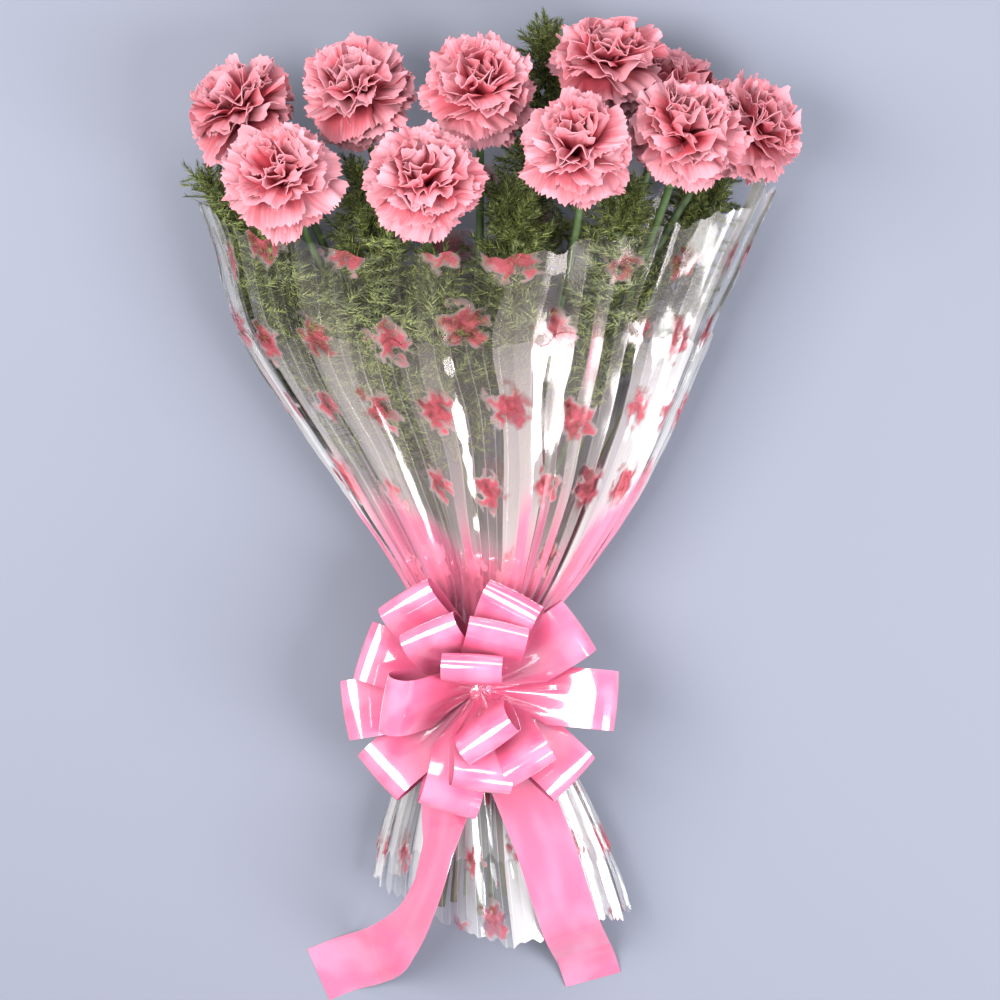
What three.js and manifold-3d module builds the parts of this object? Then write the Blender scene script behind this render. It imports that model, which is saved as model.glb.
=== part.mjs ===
// Bunch of ten carnations with fern, wrapped in two sheets of clear film and tied with a ribbon bow.
// Millimetres. The bunch lies on its back: +Y points to the flowers, +Z to the side with the bow.
import * as THREE from "three";
import { mergeVertices } from "three/addons/utils/BufferGeometryUtils.js";
import Module from "manifold-3d";

const wasm = await Module();
wasm.setup();

const radians = THREE.MathUtils.degToRad;

// The tie, where every stem and both sheets come together
const TIE_Y = -8; // middle of the tie along the bunch
const TIE_Z = 22; // height of the bundle's axis at the tie
const TIE_HALF = 7; // half of the gathered length
const TIE_CENTRE = new THREE.Vector3(0, TIE_Y, TIE_Z);
const GAP = 0.35; // clearance between pieces that touch
const ROUNDING = 1e-3; // grid that vertices are merged on
const SPECK = 0.05; // mm3; smaller bodies are only rounding
const JOIN_TOLERANCE = 0.05; // slivers smaller than this are tidied away where shapes are joined

// Flower heads
const HEAD_RADIUS = 34;
const CORE_RADIUS = 15;
const CORE_SIDES = 6;
const CALYX_LENGTH = 26;
const MOUTH_BELOW_CENTRE = 12; // calyx mouth, measured back along the flower's axis
const PETAL_THICK = 0.8;
const PETAL_CLEAR = 0.8; // distance kept from the plane between two neighbouring heads

// Each flower: head centre, lean to the right and rise off the table in degrees, place in the bundle
const FLOWERS = [
  { at: [-134, 319, 62], lean: -35, rise: 20, row: 0, place: -1.5, turn: 10 },
  { at: [-69, 330, 70], lean: -12, rise: 38, row: -1, place: -1, turn: 40 },
  { at: [-109, 285, 108], lean: -18, rise: 52, row: 1, place: -1, turn: 5 },
  { at: [-31, 283, 125], lean: -2, rise: 55, row: 1, place: 0, turn: 30 },
  { at: [-1, 331, 95], lean: 0, rise: 46, row: 0, place: -0.5, turn: 20 },
  { at: [69, 345, 80], lean: 8, rise: 25, row: -1, place: 0, turn: 50 },
  { at: [105, 327, 40], lean: 15, rise: 8, row: -1, place: 1, turn: 0 },
  { at: [51, 301, 122], lean: -6, rise: 48, row: 0, place: 0.5, turn: 15 },
  { at: [109, 309, 112], lean: 12, rise: 36, row: 1, place: 1, turn: 35 },
  { at: [148, 309, 64], lean: 42, rise: 25, row: 0, place: 1.5, turn: 25 },
];

// Rings of petals: count, angle off the axis, length, width at the rim, all before crowding
const PETAL_RINGS = [
  { count: 6, angle: 96, length: 34, width: 32, ruffle: 3.0 },
  { count: 5, angle: 59, length: 32, width: 31, ruffle: 4.0 },
  { count: 3, angle: 26, length: 30, width: 24, ruffle: 4.0 },
];

// Petal outline: share of the width and of the length, from the root round the notched rim
const PETAL_OUTLINE = [
  [-0.05, 0],
  [0.05, 0],
  [0.5, 0.86],
  [0.17, 0.96],
  [-0.18, 0.9],
  [-0.5, 0.86],
];

// Stems
const STEM_RADIUS = 2.2;
const STEM_SIDES = 5;
const STEM_PITCH = 5.05; // between stem centres in the bundle
const FOOT_Y = -138;
const NECK_BEND = 0.17; // share of the stem over which it turns to the flower's axis
const LEAF_LENGTH = 58;
const LEAF_WIDTH = 5.5;
const LEAF_THICK = 0.8;

// Film: y, centre x, half-width, centre z, half-height of the outer sheet
const FILM_STATIONS = [
  [-175, 12, 84, 22, 27],
  [-150, 10, 80, 22, 27],
  [-110, 6, 70, 22, 27],
  [-60, 2, 49, 22, 26],
  [-30, 0, 29, 22, 22.5],
  [-16, 0, 18.8, 22, 18.8],
  [0, 0, 18.8, 22, 18.8],
  [24, 2, 36, 25, 27],
  [60, 6, 60, 31, 36],
  [110, 5, 92, 37, 42],
  [196, -4, 137, 44, 49],
  [247, 0, 155, 48, 53],
  [285, 2, 168, 51, 56],
  [340, 2, 174, 53, 58],
];
const PLEATS = 14;
const FILM_THICK = 0.8;
const SHEET_STEP = 1.35; // from one sheet's outer face to the next
const SHARED_ROWS = [-110, -60, -30, -16, 0, 24, 60, 110, 196];
const MOUTH = { right: 278, left: 270, front: 246, back: 328 }; // ends of the inner sheet
const SKIRT = { right: -148, left: -128, front: -163, back: -140 };
const PLEAT_SHALLOW = 0.6;
const PLEAT_DEEP = 5;
const PLEAT_REACH = 130; // distance from the tie at which the pleats are deepest

// Bands
const STEM_BAND = { inner: 13.95, outer: 15.1, half: 4 };
const TIE_BAND = { inner: 19.6, outer: 21.2, half: 6.5 };
const BAND_SIDES = 16;
const KNOT_UNDERSIDE = 46.1;

// Ribbon
const RIBBON_WIDTH = 34;
const RIBBON_THICK = 0.8;
const KNOT = new THREE.Vector3(-2, -10, 53.5);
const KNOT_RADIUS = 9;

// Loops: heading and rise off the table in degrees, length
const LOOP_HALF = 11; // sets how far a loop opens
const LOOP_STEPS = 7;
const LOOPS = [
  { heading: 126, rise: 15, length: 76 },
  { heading: 71, rise: 26, length: 72 },
  { heading: 36, rise: 15, length: 73 },
  { heading: -3, rise: 10, length: 80 },
  { heading: -42, rise: 14, length: 76 },
  { heading: -106, rise: 26, length: 74 },
  { heading: -140, rise: 12, length: 78 },
  { heading: -173, rise: 11, length: 79 },
  { heading: 159, rise: 9, length: 72 },
  { heading: 123, rise: 40, length: 70 },
  { heading: 76, rise: 46, length: 68 },
  { heading: -52, rise: 48, length: 70 },
  { heading: 179, rise: 42, length: 70 },
  { heading: -88, rise: 54, length: 70 },
  { heading: 50, rise: 66, length: 68 },
  { heading: -20, rise: 76, length: 66 },
];

// Tails: points of the middle line, each with the ribbon's roll in degrees
const TAIL_PAIRED = 4; // stations where one tail lies on the other, both square to the bunch
const TAIL_LEFT = [
  [-2, -3, 44, 0],
  [-3, -13, 44, 0],
  [-5, -24, 45, 0],
  [-13, -48, 50.4, 0],
  [-18, -60, 52, 6],
  [-21.5, -78, 57.5, 36],
  [-26, -102, 62.5, 60],
  [-34, -131, 63, 64],
  [-45, -157, 46, 56],
  [-56, -174, 23, 34],
  [-67, -184, 6.5, 8],
  [-82, -190, 0.8, 0],
  [-99, -197, 0.4, 0],
];
const TAIL_RIGHT = [
  [-2, -3, 45.3, 0],
  [-1, -13, 45.35, 0],
  [4, -24, 46.9, 0],
  [14, -48, 52.6, 0],
  [25, -75, 55, 0],
  [36, -103, 55, 0],
  [45, -132, 54, 0],
  [52, -155, 46, 0],
  [58, -173, 25, 0],
  [62, -186, 7, 0],
  [66, -200, 0.5, 0],
];

// Leaves are tried at these turns and shares of their length, fern branchlets at these turns,
// angles off the stem and shares of theirs
const LEAF_TRIES = [
  [0, 1],
  [40, 1],
  [-40, 1],
  [80, 0.9],
  [-80, 0.9],
  [20, 0.75],
  [60, 0.75],
  [-60, 0.75],
  [0, 0.6],
  [45, 0.6],
  [-45, 0.6],
  [90, 0.5],
];
const BRANCH_TRIES = [
  [0, 48, 1],
  [35, 48, 1],
  [-35, 48, 1],
  [0, 36, 0.9],
  [70, 42, 0.9],
  [-70, 42, 0.9],
  [110, 40, 0.8],
  [-110, 40, 0.8],
  [0, 30, 0.65],
  [60, 32, 0.65],
  [-60, 32, 0.65],
  [180, 36, 0.65],
];

// Fern
const FERN_RING = 12.05; // radius of the ring of fern stems at the tie
const FERN_RADIUS = 0.85;
const STEM_TUFTS = 4;
const WRAP_LINING = 8; // kept free inside the wrap's outer face
const NEEDLE_CORE = 0.7;
const NEEDLE_LENGTH = 9;
const NEEDLE_ANGLE = radians(50);
const BRANCH_LENGTH = 34;
const BRANCH_TUFTS = 2;

// Sprays: place round the bundle in degrees, foot, leafy length, and points after the tie as share
// of the wrap's width, distance along, share of its height
const FERNS = [
  {
    place: 192,
    foot: -80,
    leafy: 95,
    via: [
      [-0.72, 90, -0.38],
      [-0.82, 170, -0.28],
      [-0.88, 235, -0.1],
      [-0.93, 272, 0.05],
    ],
  },
  {
    place: 155,
    foot: -72,
    leafy: 90,
    via: [
      [-0.6, 90, 0.35],
      [-0.7, 160, 0.36],
      [-0.76, 215, 0.34],
      [-0.8, 252, 0.36],
    ],
  },
  {
    place: 134,
    foot: -92,
    leafy: 90,
    via: [
      [-0.38, 90, 0.5],
      [-0.42, 160, 0.55],
      [-0.42, 240, 0.6],
      [-0.43, 285, 0.65],
    ],
  },
  {
    place: 116,
    foot: -66,
    leafy: 105,
    via: [
      [-0.4, 80, 0.66],
      [-0.52, 150, 0.64],
      [-0.62, 215, 0.58],
    ],
  },
  {
    place: 97,
    foot: -84,
    leafy: 105,
    via: [
      [-0.12, 80, 0.78],
      [-0.18, 150, 0.78],
      [-0.2, 225, 0.74],
    ],
  },
  {
    place: 75,
    foot: -70,
    leafy: 120,
    via: [
      [0.12, 80, 0.72],
      [0.14, 170, 0.68],
      [0.12, 240, 0.66],
      [0.07, 286, 0.66],
    ],
  },
  {
    place: 270,
    foot: -75,
    leafy: 60,
    via: [
      [0.04, 90, -0.72],
      [0.16, 200, -0.65],
      [0.22, 320, -0.1],
      [0.2, 372, 0.1],
    ],
  },
  {
    place: 42,
    foot: -86,
    leafy: 105,
    via: [
      [0.48, 90, 0.5],
      [0.58, 160, 0.54],
      [0.52, 230, 0.6],
      [0.5, 275, 0.58],
    ],
  },
  {
    place: 344,
    foot: -78,
    leafy: 90,
    via: [
      [0.66, 90, -0.6],
      [0.8, 170, -0.46],
      [0.82, 258, -0.42],
      [0.85, 298, -0.45],
    ],
  },
];

const FILM_COLOUR = 0xdfe4ea;
const STEM_COLOUR = 0x6f8f4e;
const PETAL_COLOUR = 0xe58a94;
const FERN_COLOUR = 0x4f7038;
const RIBBON_COLOUR = 0xf888b0;

// Plain helpers

// Repeatable draws between two values
function drawer(seed) {
  let state = seed * 7919 + 13;
  return (low, high) => {
    state = (state * 16807) % 2147483647;
    return low + ((high - low) * state) / 2147483647;
  };
}

// Closed geometry to solid
function solidOf(geometry) {
  const plain = geometry.clone();
  plain.deleteAttribute("normal");
  plain.deleteAttribute("uv");
  const merged = mergeVertices(plain, 1e-4);
  return new wasm.Manifold(
    new wasm.Mesh({
      numProp: 3,
      vertProperties: new Float32Array(merged.attributes.position.array),
      triVerts: new Uint32Array(merged.index.array),
    }),
  );
}

// Moves every vertex of a geometry by a rule
function moved(geometry, rule) {
  const spots = geometry.attributes.position;
  const point = new THREE.Vector3();
  for (let i = 0; i < spots.count; i++) {
    point.fromBufferAttribute(spots, i);
    const next = rule(point.x, point.y, point.z);
    spots.setXYZ(i, next.x, next.y, next.z);
  }
  return geometry;
}

// Edges that only one triangle uses, in that triangle's order
function openEdges(index) {
  const seen = new Map();
  for (let i = 0; i < index.length; i += 3) {
    for (let k = 0; k < 3; k++) {
      const a = index[i + k];
      const b = index[i + ((k + 1) % 3)];
      seen.set(a + "," + b, [a, b]);
    }
  }
  return [...seen.values()].filter(([a, b]) => !seen.has(b + "," + a));
}

// A thin solid from one grid placed twice: both faces are cut into triangles alike
function thinSolid(grid, frontRule, backRule) {
  const plain = grid.clone();
  plain.deleteAttribute("normal");
  plain.deleteAttribute("uv");
  const sheet = mergeVertices(plain, 1e-5);
  const front = moved(sheet.clone(), frontRule).attributes.position;
  const back = moved(sheet.clone(), backRule).attributes.position;
  const index = [...sheet.index.array];
  const shift = front.count;
  const faces = [...index];
  for (let i = 0; i < index.length; i += 3) {
    faces.push(index[i] + shift, index[i + 2] + shift, index[i + 1] + shift);
  }
  for (const [a, b] of openEdges(index)) {
    faces.push(b, a, a + shift, b, a + shift, b + shift);
  }
  const shell = new THREE.BufferGeometry();
  const spots = new Float32Array([...front.array, ...back.array]);
  shell.setAttribute("position", new THREE.BufferAttribute(spots, 3));
  shell.setIndex(faces);
  return solidOf(shell);
}

// A tapering tube: a cylinder bent along a curve. Each row has its share of the length and its
// radius, and a row of needles also says which pair of its four corners is drawn out, and how far.
function sweptTube(curve, rows, sides) {
  const steps = rows.length - 1;
  const tube = new THREE.CylinderGeometry(1, 1, steps, sides, steps);
  const frames = [];
  let normal = new THREE.Vector3(0.31, 0.05, 0.95);
  for (const [at] of rows) {
    const along = curve.getTangentAt(at);
    normal = normal.clone().addScaledVector(along, -normal.dot(along)).normalize();
    const across = along.clone().cross(normal);
    frames.push({ spot: curve.getPointAt(at), along, normal, across });
  }
  const rule = (x, y, z) => {
    const k = Math.round(y + steps / 2);
    const [, radius, pair, reach] = rows[k];
    const drawnOut = (pair === 1 && Math.abs(x) > 0.5) || (pair === 2 && Math.abs(z) > 0.5);
    const size = drawnOut ? reach * Math.sin(NEEDLE_ANGLE) : radius;
    const forward = drawnOut ? reach * Math.cos(NEEDLE_ANGLE) : 0;
    return frames[k].spot
      .clone()
      .addScaledVector(frames[k].along, forward)
      .addScaledVector(frames[k].normal, x * size)
      .addScaledVector(frames[k].across, -z * size);
  };
  return solidOf(moved(tube, rule));
}

// Values between stations, smooth through each of them
function between(stations, at) {
  const last = stations.length - 1;
  let k = 0;
  while (k < last - 1 && at > stations[k + 1][0]) k++;
  const a = stations[k];
  const b = stations[k + 1];
  const before = stations[Math.max(k - 1, 0)];
  const after = stations[Math.min(k + 2, last)];
  const span = b[0] - a[0];
  const t = THREE.MathUtils.clamp((at - a[0]) / span, 0, 1);
  return a.slice(1).map((start, i) => {
    const end = b[i + 1];
    const slopeA = ((end - before[i + 1]) / (b[0] - before[0])) * span;
    const slopeB = ((after[i + 1] - start) / (after[0] - a[0])) * span;
    const t2 = t * t;
    const t3 = t2 * t;
    return (
      (2 * t3 - 3 * t2 + 1) * start +
      (t3 - 2 * t2 + t) * slopeA +
      (3 * t2 - 2 * t3) * end +
      (t3 - t2) * slopeB
    );
  });
}

// Flower axis from its lean and rise
function axisOf(flower) {
  const lean = radians(flower.lean);
  const rise = radians(flower.rise);
  return new THREE.Vector3(
    Math.sin(lean) * Math.cos(rise),
    Math.cos(lean) * Math.cos(rise),
    Math.sin(rise),
  );
}

// Two directions square to an axis
function crossAxes(axis) {
  const side = new THREE.Vector3(0, 0, 1).cross(axis).normalize();
  return [side, axis.clone().cross(side).normalize()];
}

// A direction turned away from an axis, on the side that the second angle gives
function turnedAway(direction, angle, around) {
  const [side, up] = crossAxes(direction);
  return direction
    .clone()
    .multiplyScalar(Math.cos(angle))
    .addScaledVector(side, Math.sin(angle) * Math.cos(around))
    .addScaledVector(up, Math.sin(angle) * Math.sin(around));
}

// Joins solids, and fills any pocket that they close off
function joined(solids) {
  const bodies = wasm.Manifold.union(solids).decompose();
  const filled = wasm.Manifold.union(bodies.filter((body) => body.volume() > 0));
  return filled.simplify(JOIN_TOLERANCE);
}

// The pieces placed so far, by name, and clearance tests against them

const pieces = new Map();

function boxesNear(a, b, reach) {
  const p = a.boundingBox();
  const q = b.boundingBox();
  const near = (i) => p.min[i] < q.max[i] + reach && q.min[i] < p.max[i] + reach;
  return [0, 1, 2].every(near);
}

// True if a solid keeps its clearance from every piece but its own
function isClear(solid, ownName) {
  for (const [name, piece] of pieces) {
    if (name === ownName || !boxesNear(solid, piece.solid, GAP)) continue;
    if (solid.minGap(piece.solid, 1) <= GAP) return false;
  }
  return true;
}

function place(name, solid, colour, roughness) {
  pieces.set(name, { solid, colour, roughness });
}

function numbered(stem, k) {
  return stem + "_" + String(k + 1).padStart(2, "0");
}

// Film wrap

// A point of the wrap: angle round the bunch, distance along it, distance in from the outer face
function filmPoint(angle, y, inward) {
  const [centreX, halfX, centreZ, halfZ] = between(FILM_STATIONS, y);
  const normalX = Math.cos(angle) / halfX;
  const normalZ = Math.sin(angle) / halfZ;
  const size = Math.hypot(normalX, normalZ);
  const x = centreX + halfX * Math.cos(angle) - (inward * normalX) / size;
  const z = centreZ + halfZ * Math.sin(angle) - (inward * normalZ) / size;
  return new THREE.Vector3(x, y, z);
}

// Depth of the pleats: shallow at the tie, none where the film lies flat on the table
function pleatDepth(angle, y) {
  const opened = THREE.MathUtils.smoothstep(Math.abs(y - TIE_Y), TIE_HALF, PLEAT_REACH);
  const low = filmPoint(angle, y, 0).z;
  const lifted = THREE.MathUtils.smoothstep(low, 1, 14);
  return THREE.MathUtils.lerp(PLEAT_SHALLOW, PLEAT_DEEP, opened) * lifted;
}

function filmRule(firstRow, lastRow, depth) {
  const rows = [firstRow, ...SHARED_ROWS, lastRow].flat();
  return (angleStep, row) => {
    const angle = (angleStep * Math.PI) / PLEATS;
    const start = rows[Math.floor(row)];
    const y = typeof start === "function" ? start(angle) : start;
    const fold = angleStep % 2 ? pleatDepth(angle, y) : 0;
    const point = filmPoint(angle, y, depth + fold);
    point.z = Math.max(point.z, depth);
    return point;
  };
}

function filmSheet(firstRow, lastRow, depth) {
  const rowCount = SHARED_ROWS.length + firstRow.length + lastRow.length - 1;
  const grid = new THREE.CylinderGeometry(1, 1, rowCount, PLEATS * 2, rowCount, true);
  const onGrid = (rule) => (x, y, z) => {
    const turn = Math.round((Math.atan2(z, x) * PLEATS) / Math.PI);
    const step = (turn + PLEATS * 2) % (PLEATS * 2);
    return rule(step, Math.round(rowCount / 2 + y));
  };
  const outside = filmRule(firstRow, lastRow, depth);
  const inside = filmRule(firstRow, lastRow, depth + FILM_THICK);
  return thinSolid(grid, onGrid(outside), onGrid(inside));
}

// The open edges: the mouth is high at the back and sides, the skirt longest in front
function mouthY(angle) {
  const across = Math.cos(angle);
  const side = across > 0 ? MOUTH.right : MOUTH.left;
  const near = Math.abs(across) ** (across > 0 ? 2.5 : 5);
  const edge = Math.sin(angle) > 0 ? MOUTH.front : MOUTH.back;
  return edge + (side - edge) * near;
}

function skirtY(angle) {
  const across = Math.cos(angle);
  const side = across > 0 ? SKIRT.right : SKIRT.left;
  const edge = Math.sin(angle) > 0 ? SKIRT.front : SKIRT.back;
  return edge + (side - edge) * Math.abs(across);
}

function halfwayMouthY(angle) {
  return (SHARED_ROWS.at(-1) + mouthY(angle)) / 2;
}

function makeFilm() {
  const outer = filmSheet([], [], 0);
  const inner = filmSheet([skirtY], [halfwayMouthY, mouthY], SHEET_STEP);
  place("wrap_outer", outer, FILM_COLOUR, 0.15);
  place("wrap_inner", inner, FILM_COLOUR, 0.15);
}

// Bands

function band({ inner, outer, half }) {
  const profile = [
    new THREE.Vector2(inner, -half),
    new THREE.Vector2(outer, -half),
    new THREE.Vector2(outer, half),
    new THREE.Vector2(inner, half),
    new THREE.Vector2(inner, -half),
  ];
  const ring = new THREE.LatheGeometry(profile, BAND_SIDES);
  return solidOf(ring.translate(0, TIE_Y, TIE_Z));
}

// Stems

function stemCurve(flower) {
  const axis = axisOf(flower);
  const head = new THREE.Vector3(...flower.at);
  const base = head.clone().addScaledVector(axis, -MOUTH_BELOW_CENTRE - CALYX_LENGTH);
  const across = flower.place * STEM_PITCH;
  const up = flower.row * STEM_PITCH * 0.866;
  const waist = new THREE.Vector3(across, TIE_Y, TIE_Z + up);
  const foot = new THREE.Vector3(across * 3 - 2, FOOT_Y - (flower.turn % 17), TIE_Z + up * 1.8);
  const along = new THREE.Vector3(across * 0.012, 1, up * 0.006).normalize();
  const reach = waist.distanceTo(base);
  const lower = new THREE.CubicBezierCurve3(
    foot,
    foot.clone().lerp(waist, 0.4),
    waist.clone().addScaledVector(along, -32),
    waist,
  );
  const upper = new THREE.CubicBezierCurve3(
    waist,
    waist.clone().addScaledVector(along, 55),
    base.clone().addScaledVector(axis, -reach * NECK_BEND),
    base,
  );
  const calyx = new THREE.LineCurve3(
    base,
    base.clone().addScaledVector(axis, CALYX_LENGTH),
  );
  const path = new THREE.CurvePath();
  path.add(lower);
  path.add(upper);
  path.add(calyx);
  return path;
}

// Rows of a stem as share of its length and radius: one swollen joint, then the calyx
function stemRows(total, jointShare) {
  const toWaist = TIE_Y - FOOT_Y;
  const visible = total - toWaist - CALYX_LENGTH;
  const joint = toWaist + visible * jointShare;
  const neck = total - CALYX_LENGTH;
  const spots = [
    [0, STEM_RADIUS],
    [toWaist * 0.5, STEM_RADIUS],
    [toWaist, STEM_RADIUS],
    [toWaist + 30, STEM_RADIUS],
    [toWaist + (joint - toWaist) * 0.6, STEM_RADIUS],
    [joint - 5, STEM_RADIUS],
    [joint, STEM_RADIUS * 1.45],
    [joint + 4, STEM_RADIUS],
    [joint + (neck - joint) * 0.4, STEM_RADIUS],
    [joint + (neck - joint) * 0.72, STEM_RADIUS],
    [neck - 14, STEM_RADIUS],
    [neck, STEM_RADIUS],
    [neck + 4, 4.7],
    [neck + 17, 5.4],
    [total, 6.5],
  ];
  return spots.map(([distance, radius]) => [distance / total, radius]);
}

// A narrow leaf that leaves the stem at a joint and bends away from it
function leafSolid(spot, along, outward, length) {
  const grid = new THREE.PlaneGeometry(1, 1, 1, 2);
  const across = along.clone().cross(outward).normalize();
  const rule = (offset) => (x, y) => {
    const t = y + 0.5;
    const width = LEAF_WIDTH * (0.75 + 0.9 * t - 1.45 * t * t);
    const bend = outward.clone().multiplyScalar(0.6 + 20 * t + 4 * t * t);
    return spot
      .clone()
      .addScaledVector(along, length * t)
      .add(bend)
      .addScaledVector(across, x * width)
      .addScaledVector(outward, offset);
  };
  return thinSolid(grid, rule(LEAF_THICK / 2), rule(-LEAF_THICK / 2));
}

function makeStems() {
  FLOWERS.forEach((flower, k) => {
    const curve = stemCurve(flower);
    const draw = drawer(k + 1);
    const rows = stemRows(curve.getLength(), draw(0.42, 0.6));
    place(numbered("stem", k), sweptTube(curve, rows, STEM_SIDES), STEM_COLOUR, 0.6);
    flower.curve = curve;
    flower.joint = rows.find((row) => row[1] > STEM_RADIUS)[0];
  });
}

// A pair of leaves at the joint of each stem, turned and shortened until they clear the rest
function addLeaves() {
  FLOWERS.forEach((flower, k) => {
    const name = numbered("stem", k);
    const { solid, colour, roughness } = pieces.get(name);
    const spot = flower.curve.getPointAt(flower.joint);
    const along = flower.curve.getTangentAt(flower.joint);
    const leaves = [];
    for (const start of [0, 180]) {
      for (const [turn, share] of LEAF_TRIES) {
        const around = radians(start + flower.turn + turn);
        const outward = turnedAway(along, Math.PI / 2, around);
        const leaf = leafSolid(spot, along, outward, LEAF_LENGTH * share);
        if (!isClear(leaf, name)) continue;
        leaves.push(leaf);
        break;
      }
    }
    place(name, joined([solid, ...leaves]), colour, roughness);
  });
}

// Flower heads

// The planes that part a head from its neighbours
function headCell(flower) {
  const head = new THREE.Vector3(...flower.at);
  const planes = [];
  for (const other of FLOWERS) {
    if (other === flower) continue;
    const toOther = new THREE.Vector3(...other.at).sub(head);
    const distance = toOther.length();
    if (distance > HEAD_RADIUS * 2 + 8) continue;
    const normal = toOther.divideScalar(distance);
    planes.push({ normal, limit: normal.dot(head) + distance / 2 - PETAL_CLEAR });
  }
  return planes;
}

function keptInCell(point, planes) {
  for (const { normal, limit } of planes) {
    const beyond = point.dot(normal) - limit;
    if (beyond > 0) point.addScaledVector(normal, -beyond);
  }
  return point;
}

// One petal: a fan with a waved and notched rim, its root well inside the core
function petalSolid(flower, ring, around, size, planes) {
  const axis = axisOf(flower);
  const outward = turnedAway(axis, Math.PI / 2, around);
  const tangent = axis.clone().cross(outward);
  const tilt = radians(ring.angle);
  const along = turnedAway(axis, tilt, around);
  const normal = turnedAway(axis, tilt + Math.PI / 2, around);
  const root = new THREE.Vector3(...flower.at).addScaledVector(axis, -3);
  const rule = (offset) => (x, y) => {
    const wave = (y < 0.88 === x > 0 ? 1 : -1) * ring.ruffle * y;
    const point = root
      .clone()
      .addScaledVector(along, ring.length * size * y)
      .addScaledVector(tangent, ring.width * size * x)
      .addScaledVector(normal, wave);
    return keptInCell(point, planes).addScaledVector(normal, offset);
  };
  const outline = new THREE.Shape(PETAL_OUTLINE.map(([x, y]) => new THREE.Vector2(x, y)));
  const grid = new THREE.ShapeGeometry(outline);
  return thinSolid(grid, rule(PETAL_THICK / 2), rule(-PETAL_THICK / 2));
}

// The core that the petals grow from, above the mouth of the calyx
function coreSolid(flower) {
  const low = -MOUTH_BELOW_CENTRE + GAP;
  const profile = [
    new THREE.Vector2(0, low),
    new THREE.Vector2(5.5, low),
    new THREE.Vector2(CORE_RADIUS - 2, -2),
    new THREE.Vector2(CORE_RADIUS, 7),
    new THREE.Vector2(CORE_RADIUS - 6, 16),
    new THREE.Vector2(0, 19),
  ];
  const core = new THREE.LatheGeometry(profile, CORE_SIDES);
  const turn = new THREE.Quaternion().setFromUnitVectors(
    new THREE.Vector3(0, 1, 0),
    axisOf(flower),
  );
  core.applyQuaternion(turn).translate(...flower.at);
  return solidOf(core);
}

function makeBlooms() {
  FLOWERS.forEach((flower, k) => {
    const planes = headCell(flower);
    const draw = drawer(k + 21);
    const parts = [coreSolid(flower)];
    for (const ring of PETAL_RINGS) {
      for (let i = 0; i < ring.count; i++) {
        const around = radians(flower.turn + ring.angle + (360 * i) / ring.count + draw(-6, 6));
        const ownRing = { ...ring, angle: ring.angle + draw(-5, 5) };
        for (const size of [1, 0.93, 0.86, 0.78, 0.7]) {
          const petal = petalSolid(flower, ownRing, around, size, planes);
          if (!isClear(petal)) continue;
          parts.push(petal);
          break;
        }
      }
    }
    place(numbered("bloom", k), joined(parts), PETAL_COLOUR, 0.7);
  });
}

// Fern

// Rows of needles between two shares of a length, in pairs that alternate
function needleRows(from, to, tufts, radius, reach) {
  const rows = [];
  const step = (to - from) / tufts;
  for (let i = 0; i < tufts; i++) {
    const start = from + i * step;
    rows.push([start, radius], [start + step * 0.5, radius, 1 + (i % 2), reach]);
  }
  return rows;
}

// A side branch with needles on all sides, up to its tip
function branchletSolid(spot, direction, length) {
  const line = new THREE.LineCurve3(spot, spot.clone().addScaledVector(direction, length));
  const leafy = needleRows(0.22, 0.98, BRANCH_TUFTS, NEEDLE_CORE, NEEDLE_LENGTH);
  return sweptTube(line, [[0, NEEDLE_CORE], ...leafy, [1, 0.3]], 4);
}

// A point inside the wrap: share of its width, distance along, share of its height
function insideWrap([shareX, y, shareZ]) {
  const [centreX, halfX, centreZ, halfZ] = between(FILM_STATIONS, y);
  const x = centreX + shareX * (halfX - WRAP_LINING);
  const z = centreZ + shareZ * (halfZ - WRAP_LINING);
  return new THREE.Vector3(x, y, z);
}

function fernCurve(fern) {
  const around = radians(fern.place);
  const outward = new THREE.Vector3(Math.cos(around), 0, Math.sin(around));
  const waist = outward.clone().multiplyScalar(FERN_RING).add(TIE_CENTRE);
  const foot = new THREE.Vector3(24 * outward.x, fern.foot, TIE_Z + 15 * outward.z);
  const before = waist.clone().addScaledVector(outward, 0.15).setY(TIE_Y - 11);
  const after = waist.clone().addScaledVector(outward, 0.8).setY(TIE_Y + 15);
  const points = [foot, before, waist, after, ...fern.via.map(insideWrap)];
  return new THREE.CatmullRomCurve3(points, false, "centripetal");
}

// The spray's main stem: bare up to its leafy end
function fernRows(fern, total) {
  const toWaist = TIE_Y - fern.foot;
  const leafy = 1 - fern.leafy / total;
  const spots = [-11, 9, 32].map((past) => (toWaist + past) / total);
  spots.push(THREE.MathUtils.lerp(spots[2], leafy, 0.5));
  const bare = spots.map((at) => [at, FERN_RADIUS]);
  const needles = needleRows(leafy, 0.99, STEM_TUFTS, NEEDLE_CORE, NEEDLE_LENGTH);
  return [[0, FERN_RADIUS], ...bare, ...needles, [1, 0.35]];
}

function placeFernStems() {
  FERNS.forEach((fern, k) => {
    fern.curve = fernCurve(fern);
    fern.rows = fernRows(fern, fern.curve.getLength());
    const stem = sweptTube(fern.curve, fern.rows, 4);
    if (!isClear(stem)) throw new Error(numbered("fern", k) + " touches another piece");
    place(numbered("fern", k), stem, FERN_COLOUR, 0.7);
  });
}

// The first placing of a branchlet that clears everything, or none
function clearBranchlet(name, spot, along, around, length) {
  for (const [turn, angle, scale] of BRANCH_TRIES) {
    const direction = turnedAway(along, radians(angle), around + radians(turn));
    const branchlet = branchletSolid(spot, direction, length * scale);
    if (isClear(branchlet, name)) return [branchlet];
  }
  return [];
}

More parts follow.
